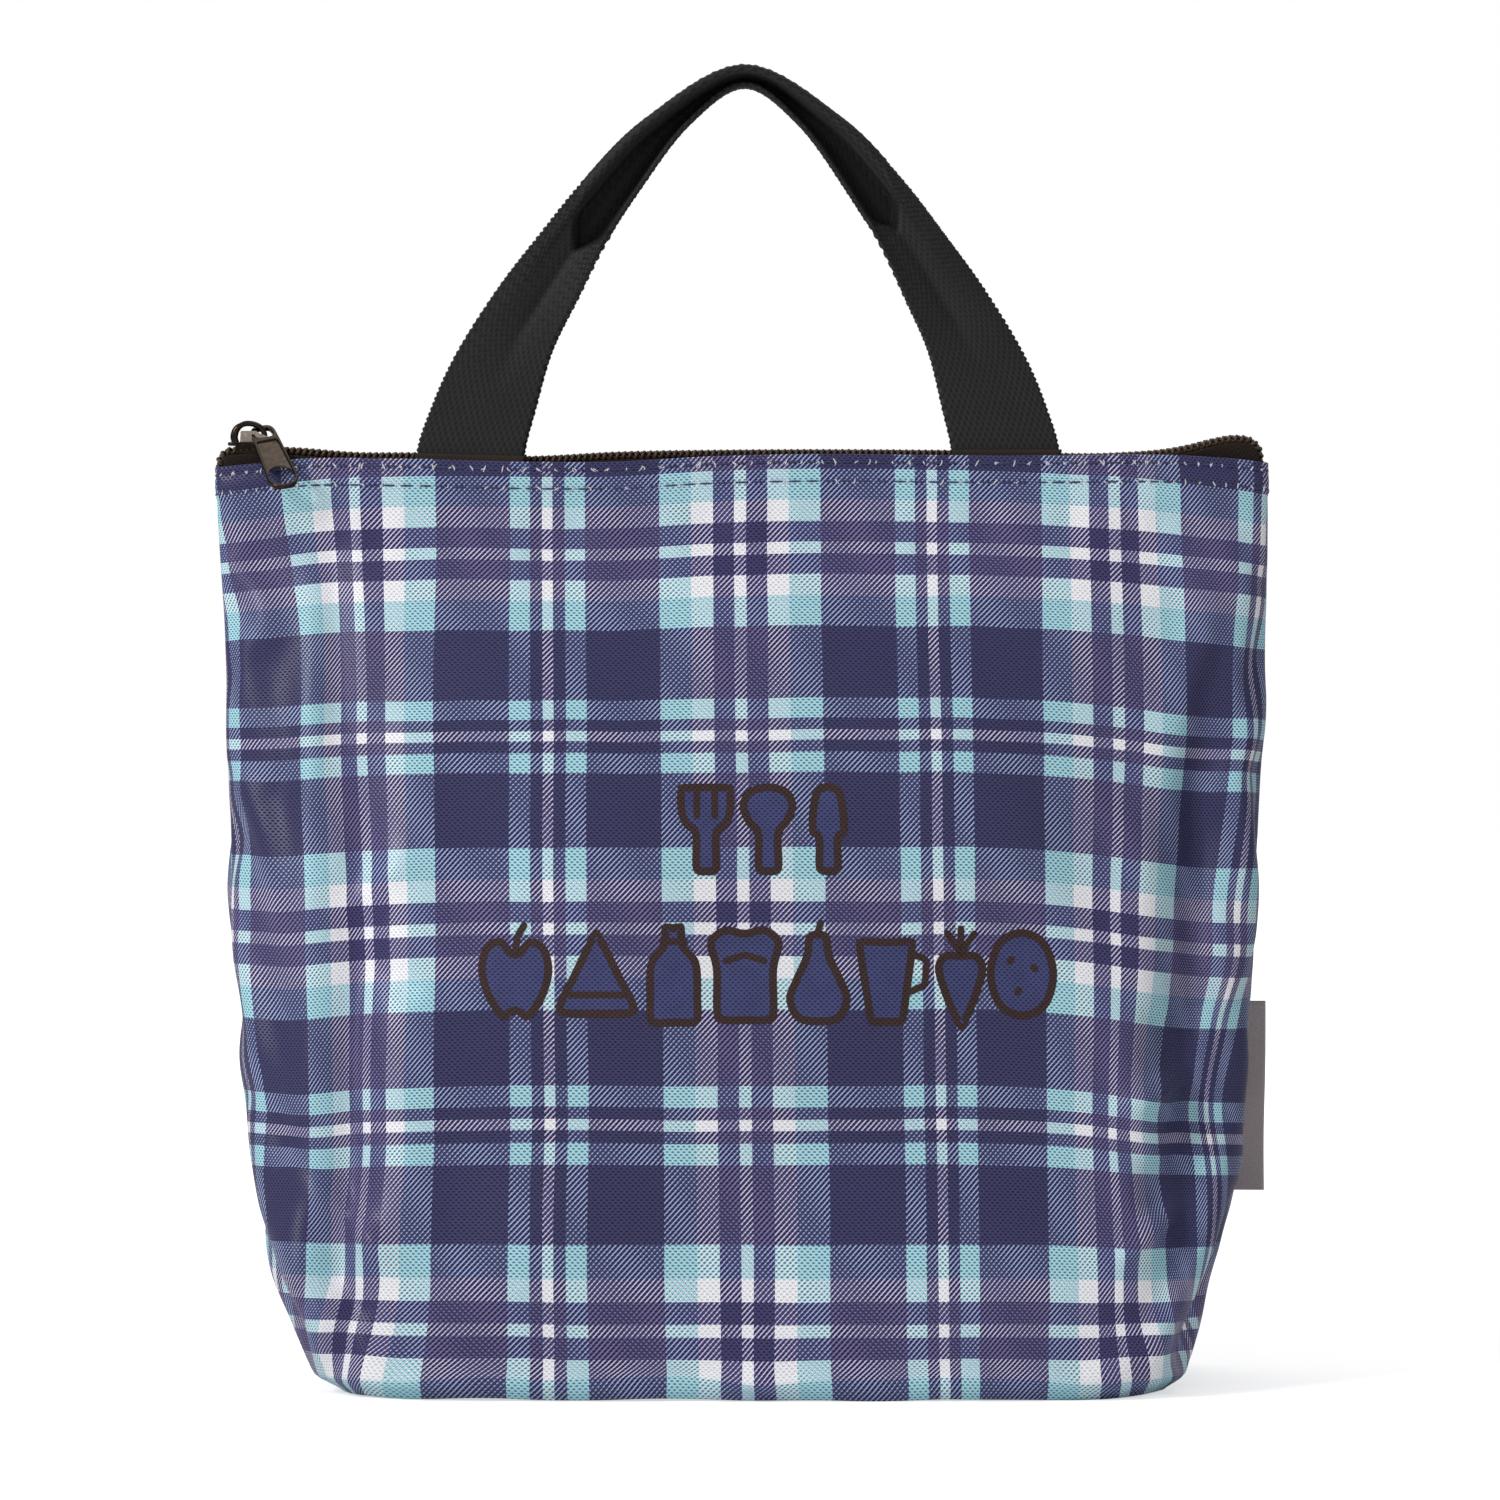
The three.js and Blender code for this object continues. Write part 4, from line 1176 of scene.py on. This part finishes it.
def strap_grid(side):
    """Middle surface of a whole strap, its uv and the shade painted inside its curl: rows along it, columns
    across it.
    """
    fine = np.linspace(0, 1, 3000)
    outer, inner = edge_curves(fine)
    length = path_lengths((outer + inner) / 2)
    steps = np.interp(np.arange(0, length[-1], STRAP_SPACING), length, fine)
    along = np.interp(steps, fine, length)
    outer, inner = edge_curves(steps)
    centre_z = (outer[:, 1] + inner[:, 1]) / 2
    half_span = np.linalg.norm(outer - inner, axis=1) / 2
    share = np.linspace(0, 1, 57)
    flat_place, flat_depth = profile(share, FLAT_PROFILE)
    curl_place, curl_depth = profile(share, CURLED_PROFILE)
    mouth = smooth_curve(share, MOUTH) + np.where(outer[:, 0] < 0, *MOUTH_RISE)[:, None]
    curled = ease(centre_z[:, None], mouth - 1.3, mouth + 1.3)
    place = flat_place + (curl_place - flat_place) * ease(centre_z, *CURLS)[:, None]
    shallow = FLAT_DEPTH * ease(centre_z, *CUPS)[:, None] * flat_depth
    deep = curl_depths(half_span)[:, None] * curl_depth
    depth = shallow + (deep - shallow) * curled
    rise = np.clip((centre_z - HINGE_Z) / (STRAP_TOP - 3 - HINGE_Z), 0, 1)[:, None]
    x = outer[:, :1] * (1 - place) + inner[:, :1] * place
    z = outer[:, 1:] * (1 - place) + inner[:, 1:] * place
    y = FOOT_Y + (STRAP_DEEP - FOOT_Y) * rise + depth
    sewn = panel_point(np.clip(x, -FLAT_CLOTH, FLAT_CLOTH), np.minimum(z, HEM), FRONT, SEWN_INSET)[..., 1]
    y = np.where(z < HEM, sewn + (FOOT_Y - sewn) * ease(z, HEM - 6, HEM), y)
    grid = np.stack([x, y, z], -1)
    edge = (1 - ease(share, 0, 0.06)) - ease(share, 0.94, 1)
    chord = (outer - inner) / (2 * half_span[:, None])
    serration = SERRATION * np.cos(4 * np.pi * along / WEB_REPEAT[1])[:, None] * edge
    grid[..., (0, 2)] += chord[:, None] * serration[..., None]
    normal = np.cross(np.gradient(grid, axis=0), np.gradient(grid, axis=1))
    normal /= np.linalg.norm(normal, axis=2)[..., None] + 1e-9
    width = share * STRAP_WIDTH
    ribs = RIBS * np.cos(2 * np.pi * along / WEB_REPEAT[1])[:, None]
    grid = grid + normal * (ribs * np.cos(2 * np.pi * width / WEB_REPEAT[0]))[..., None]
    grid[..., 0] += STRAP_SHIFT[0] + (STRAP_SHIFT[1] - STRAP_SHIFT[0]) * rise
    if side == REAR:
        grid = grid * (1, -1, 1)
        grid[..., 0] += REAR_STRAP[0] * ease(grid[..., 2], 236, 300)
        grid[..., 2] += REAR_STRAP[1] * ease(grid[..., 2], 234, 296)
    return grid, joined(width, along[:, None]), curled * smooth_curve(share, CURL_PAINTED_SHADE)


def ride_handle(obj, side, handle, slot, *nodes):
    """Bakes the piece's transform into its mesh and hides the CAD nodes it stands for."""
    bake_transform(obj)
    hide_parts(*nodes)


def make_handles():
    for side, name in SIDES:
        grid, uv, shade = strap_grid(side)
        faces = grid_faces(*shade.shape, flip=side == REAR)
        strap = new_object(name + "_handle_webbing", grid.reshape(-1, 3), faces, WEBBING, uv.reshape(-1, 2))
        # painted shade inside the curl, read by the webbing material
        layer = strap.data.attributes.new("painted_curl_shade", "FLOAT", "POINT")
        layer.data.foreach_set("value", shade.astype(np.float32).ravel())
        modify(strap, "SOLIDIFY", thickness=STRAP_THICK * MM, offset=0)
        nodes = [name + word for word in ("_handle_strap", "_left_strap_end", "_right_strap_end")]
        ride_handle(strap, side, name + "_handle", "webbing", *nodes)


def make_foot_tapes():
    """Brown tape between the panel and each strap foot, showing a thin strip above the hem."""
    share = np.linspace(0, 1, 22)[:, None]
    for side, side_name in SIDES:
        for word, sign in (("left", -1), ("right", 1)):
            x = np.linspace(-FOOT_HALF, FOOT_HALF, 40) + sign * FOOT_X + STRAP_SHIFT[0]
            top = HEM + smooth_curve(x, HEM_LINE[side]) + FOOT_SHOWS
            z = STRAP_BOTTOM + (top - STRAP_BOTTOM) * share
            y = panel_point(x, np.minimum(z, HEM), side, FOOT_INSET)[..., 1]
            grid = joined(x + 0.15 * np.sin(40 * share), y, z)
            node, uv = f"{side_name}_{word}_strap_foot_tape", grid[..., (0, 2)]
            obj = grid_sheet(node + "_strip", grid, uv, FOOT_TAPE, FOOT_THICK, flip=side == REAR)
            ride_handle(obj, side, side_name + "_handle", "foot_tape", node)


make_handles()
make_foot_tapes()


# ---------- slider and puller
SLIDER_LOW, SLIDER_HIGH = (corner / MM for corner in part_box("slider_body"))
SLIDER_X = (SLIDER_LOW.x + SLIDER_HIGH.x) / 2
PLATE = 0.8  # thickness of the slider's plates
PLATE_SAMPLES = 8  # points between two corners of a plate's outline
FLAT, UPRIGHT = np.eye(3), np.array([(1, 0, 0), (0, 0, 1), (0, -1, 0)])  # the ways a plate lies
UPPER_PLATE = 230.1  # underside of the plate above the coil
LOWER_PLATE = SLIDER_LOW.z - 1.2  # underside of the plate below the tapes, clear of the zip where it dips
EYE = np.array((-117.8, 0, 233.0))  # the middle of the hinge between puller and slider
PULLER_DROP, PULLER_LEAN = math.radians(39), math.radians(27)
# Half of the slider's plate from above, narrow end to wide end: (y, x).
SLIDER_PLAN = ((0, -5.5), (1.5, -5.3), (2.5, -4.4), (2.8, -1), (2.8, 2.6), (3.0, 4.6), (2.2, 5.5), (0, 5.2))
CROWN_ARCH = (
    (-3.6, -0.4), (-3.9, 1.6), (-3.2, 3.7), (-1.3, 4.6), (0.8, 4.5), (2.6, 3.6), (3.5, 2.0), (3.6, -0.4),
)
CROWN_WIRE = 0.7  # half the thickness of the crown that holds the puller
FLANGE_X, FLANGE_Y, FLANGE_THICK, FLANGE_HIGH = 3.4, 2.95, 0.25, 1.2  # half sizes, FLANGE_Y its place
LOCK_OUTLINE = ((-2.4, 0), (5.2, 0), (5.0, 1.3), (2.8, 2.1), (1.4, 2.9), (-2.4, 2.9))
# Right halves of the puller's outlines, top to bottom: (x, y) with the hinge at 0, 0.
PULLER_OUTLINE = (
    (0, 2.9), (1.9, 2.6), (2.9, 1.2), (3.2, -1.5), (3.5, -9), (3.7, -17), (3.6, -20.4), (2.3, -22.6),
    (0, -23.1),
)
EYE_OUTLINE = ((0, 1.7), (1.6, 1.35), (2.1, 0), (2.15, -1.2), (1.6, -1.95), (0, -2.1))
WINDOW_OUTLINE = (
    (0, -3.6), (1.9, -3.65), (2.5, -4.3), (2.8, -10), (3.05, -17), (2.9, -20), (1.8, -21.7), (0, -22.2),
)
PANE_OUTLINE = ((0, -3.3), (2.3, -3.3), (2.95, -10), (3.1, -17.0), (2.5, -15.6), (1.4, -14.6), (0, -14.2))


def add_plate(pieces, outlines, half_thick, bevel, place, turn=FLAT):
    """Adds a flat plate with rounded edges; outlines after the first are holes."""
    curve = bpy.data.curves.new("plate", "CURVE")
    curve.dimensions = "2D"
    curve.fill_mode = "BOTH"
    curve.extrude = half_thick - bevel
    curve.bevel_depth = bevel
    curve.bevel_resolution = 3
    curve.offset = -bevel
    for outline in outlines:
        spline = curve.splines.new("POLY")
        spline.points.add(len(outline) - 1)
        for point, (x, y) in zip(spline.points, outline):
            point.co = (x, y, 0, 1)
        spline.use_cyclic_u = True
    obj = bpy.data.objects.new("plate", curve)
    bpy.context.scene.collection.objects.link(obj)
    mesh = bpy.data.meshes.new_from_object(obj.evaluated_get(bpy.context.evaluated_depsgraph_get()))
    vertices = np.array([v.co for v in mesh.vertices])
    faces = [tuple(polygon.vertices) for polygon in mesh.polygons]
    bpy.data.objects.remove(obj)
    pieces.add(vertices @ turn + place, faces)


def finish_metal(pieces, name, body, material, *nodes):
    obj = pieces.build(name, material)
    modify(obj, "WELD", merge_threshold=0.00001)
    modify(obj, "EDGE_SPLIT", split_angle=math.radians(50))
    settle_piece(obj, body, "gunmetal", *nodes)


def make_slider():
    body, top = Pieces(), UPPER_PLATE + PLATE
    plan = mirror_outline(SLIDER_PLAN, PLATE_SAMPLES)[:, ::-1]
    for bottom in (LOWER_PLATE, UPPER_PLATE):
        add_plate(body, [plan], PLATE / 2, 0.25, (SLIDER_X, 0, bottom + PLATE / 2))
    for y in (-FLANGE_Y, FLANGE_Y):
        low, high = y - FLANGE_THICK, y + FLANGE_THICK
        flange = [(-FLANGE_X, low), (FLANGE_X, low), (FLANGE_X, high), (-FLANGE_X, high)]
        add_plate(body, [flange], FLANGE_HIGH, 0.12, (SLIDER_X, 0, UPPER_PLATE - 0.9))
    knots = np.arange(len(CROWN_ARCH), dtype=float)
    crown = smooth_path(knots, CROWN_ARCH, np.linspace(0, knots[-1], 60))
    vertices, faces, _ = tube(np.insert(crown, 1, 0, axis=1), CROWN_WIRE, 14)
    vertices[:, 0] += 0.35 * (vertices[:, 0] + 3.75) * ease(-vertices[:, 0], 1.5, 3)
    body.add(vertices * (1, 1.5, 1) + (SLIDER_X, 0, top), faces)
    finish_metal(body, "slider_shell", "zip_slider", GUNMETAL, "slider_body")
    lock = Pieces()
    for y in (-0.9, 0.9):
        add_plate(lock, [LOCK_OUTLINE], 0.25, 0.08, (SLIDER_X, y, top - 0.1), UPRIGHT)
    finish_metal(lock, "slider_lock_fins", "zip_slider", PALE_METAL)


def make_puller():
    """Modelled flat, then hung from its hinge over the front hem."""
    lean = math.tan(PULLER_LEAN) * math.sin(PULLER_DROP)
    down = Vector((lean, -math.cos(PULLER_DROP), -math.sin(PULLER_DROP))).normalized()
    across = (Vector((1, 0, 0)) - down * down.x).normalized()
    turn = np.array([across, -down, across.cross(-down)])
    outlines = (PULLER_OUTLINE, EYE_OUTLINE, WINDOW_OUTLINE)
    rim, pane = Pieces(), Pieces()
    add_plate(rim, [mirror_outline(half, PLATE_SAMPLES) for half in outlines], 0.62, 0.3, EYE, turn)
    finish_metal(rim, "puller_rim", "puller", GUNMETAL, "zip_puller")
    add_plate(pane, [mirror_outline(PANE_OUTLINE, PLATE_SAMPLES)], 0.3, 0.08, EYE - 0.1 * turn[2], turn)
    finish_metal(pane, "puller_pane", "puller", BRONZE)


make_slider()
make_puller()


# ---------- side label
LABEL_HALF = 0.3  # half the distance between the ribbon's two leaves
LABEL_ROOT = 2.5  # how far it reaches into the seam
LABEL_THICK = 0.2


def make_label():
    """A blank folded ribbon caught in the right side seam."""
    low, high = (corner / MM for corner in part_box("side_label"))
    shares, turns = np.linspace(0, 1, 9), np.linspace(-np.pi / 2, np.pi / 2, 7)[1:-1]
    rows = []
    for z in np.linspace(low.z, high.z, 60):
        root = section(z)[0] + BASE_SHIFT * (1 - z / HEM) - LABEL_ROOT
        wave_y = 0.5 * math.sin(z / 9) + 0.3 * math.sin(z / 4.3)
        tip = high.x - LABEL_THICK + 0.25 * math.sin(z / 11)
        front = [(root + (tip - root) * share, wave_y * share - LABEL_HALF, z) for share in shares]
        fold = [(tip + LABEL_HALF * math.cos(a), wave_y + LABEL_HALF * math.sin(a), z) for a in turns]
        back = [(x, y + 2 * LABEL_HALF, z) for x, y, z in front[::-1]]
        rows.append(front + fold + back)
    grid = np.array(rows)
    uv = grid[..., (0, 2)]
    obj = grid_sheet("side_label_ribbon", grid, uv, LABEL, LABEL_THICK, flip=True, offset=-1)
    settle_piece(obj, "bag", "label_weave", "side_label")


make_label()


# ---------- pieces kept from the frame
for binding_node in ("left_seam_binding", "right_seam_binding"):
    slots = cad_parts[binding_node].data.materials
    slots.clear()
    slots.append(BINDING)


# ---------- studio
SURROUNDINGS = 0.29  # how bright the surroundings are as a light
FLOOR_HALF = 9000  # half the floor's width in mm
# Name, place in metres, width in metres and watts.
LIGHTS = (
    ("key_light", (-1.15, -0.95, 0.95), 0.5, 13.5),
    ("fill_light", (0.5, -1.5, 0.4), 1.2, 1.8),
    ("top_light", (0.0, 0.1, 1.4), 1.0, 4),
)
CAMERA_AWAY, CAMERA_X, CAMERA_HIGH = 1.453, 0.002, 0.1552  # in metres
VIEW_WIDTH = 0.3692  # metres across the picture at the bag's middle


def make_world():
    """Soft white surroundings: full white behind the bag, dimmer as a light."""
    world = bpy.data.worlds.new("studio")
    world.use_nodes = True
    tree = world.node_tree
    background = tree.nodes["Background"]
    background.inputs[0].default_value = (1, 1, 1, 1)
    path, strength = tree.nodes.new("ShaderNodeLightPath"), tree.nodes.new("ShaderNodeMapRange")
    tree.links.new(path.outputs["Is Camera Ray"], strength.inputs[0])
    strength.inputs["To Min"].default_value = SURROUNDINGS
    strength.inputs["To Max"].default_value = 1.0
    tree.links.new(strength.outputs[0], background.inputs[1])
    bpy.context.scene.world = world


def make_floor():
    n = Nodes("studio_floor", roughness=0.9, Specular_IOR_Level=0.1)
    n.colour(rgb(244, 244, 244))
    path = n.node("ShaderNodeLightPath")
    n.bsdf.inputs["Emission Color"].default_value = (1, 1, 1, 1)
    place = n.node("ShaderNodeNewGeometry").outputs["Position"]
    distance = n.node("ShaderNodeVectorMath", operation="LENGTH")
    n.plug(place, distance.inputs[0])
    glow = n.remap(distance.outputs["Value"], 0.2, 1.1, 0.6, 1.0)
    n.plug(n.math("MULTIPLY", path.outputs["Is Camera Ray"], glow), n.bsdf.inputs["Emission Strength"])
    corners = [(x * FLOOR_HALF, y * FLOOR_HALF, 0) for x, y in ((-1, -1), (1, -1), (1, 1), (-1, 1))]
    new_object("studio_floor", corners, [(0, 1, 2, 3)], n.material)


def make_lights():
    middle = Vector((0, 0, 0.15))
    for name, place, size, watts in LIGHTS:
        light = bpy.data.lights.new(name, "AREA")
        light.size = size
        light.energy = watts
        obj = bpy.data.objects.new(name, light)
        obj.location = place
        obj.rotation_euler = (middle - Vector(place)).to_track_quat("-Z", "Y").to_euler()
        bpy.context.scene.collection.objects.link(obj)


def make_camera():
    """A level long-lens camera opposite the bag's middle."""
    camera = bpy.data.cameras.new("camera")
    camera.sensor_width = 36
    camera.lens = camera.sensor_width * CAMERA_AWAY / VIEW_WIDTH
    obj = bpy.data.objects.new("camera", camera)
    obj.location = (CAMERA_X, -CAMERA_AWAY, CAMERA_HIGH)
    obj.rotation_euler = (math.pi / 2, 0, 0)
    bpy.context.scene.collection.objects.link(obj)
    bpy.context.scene.camera = obj


make_world()
make_floor()
make_lights()
make_camera()
bpy.context.scene.view_settings.view_transform = "Standard"
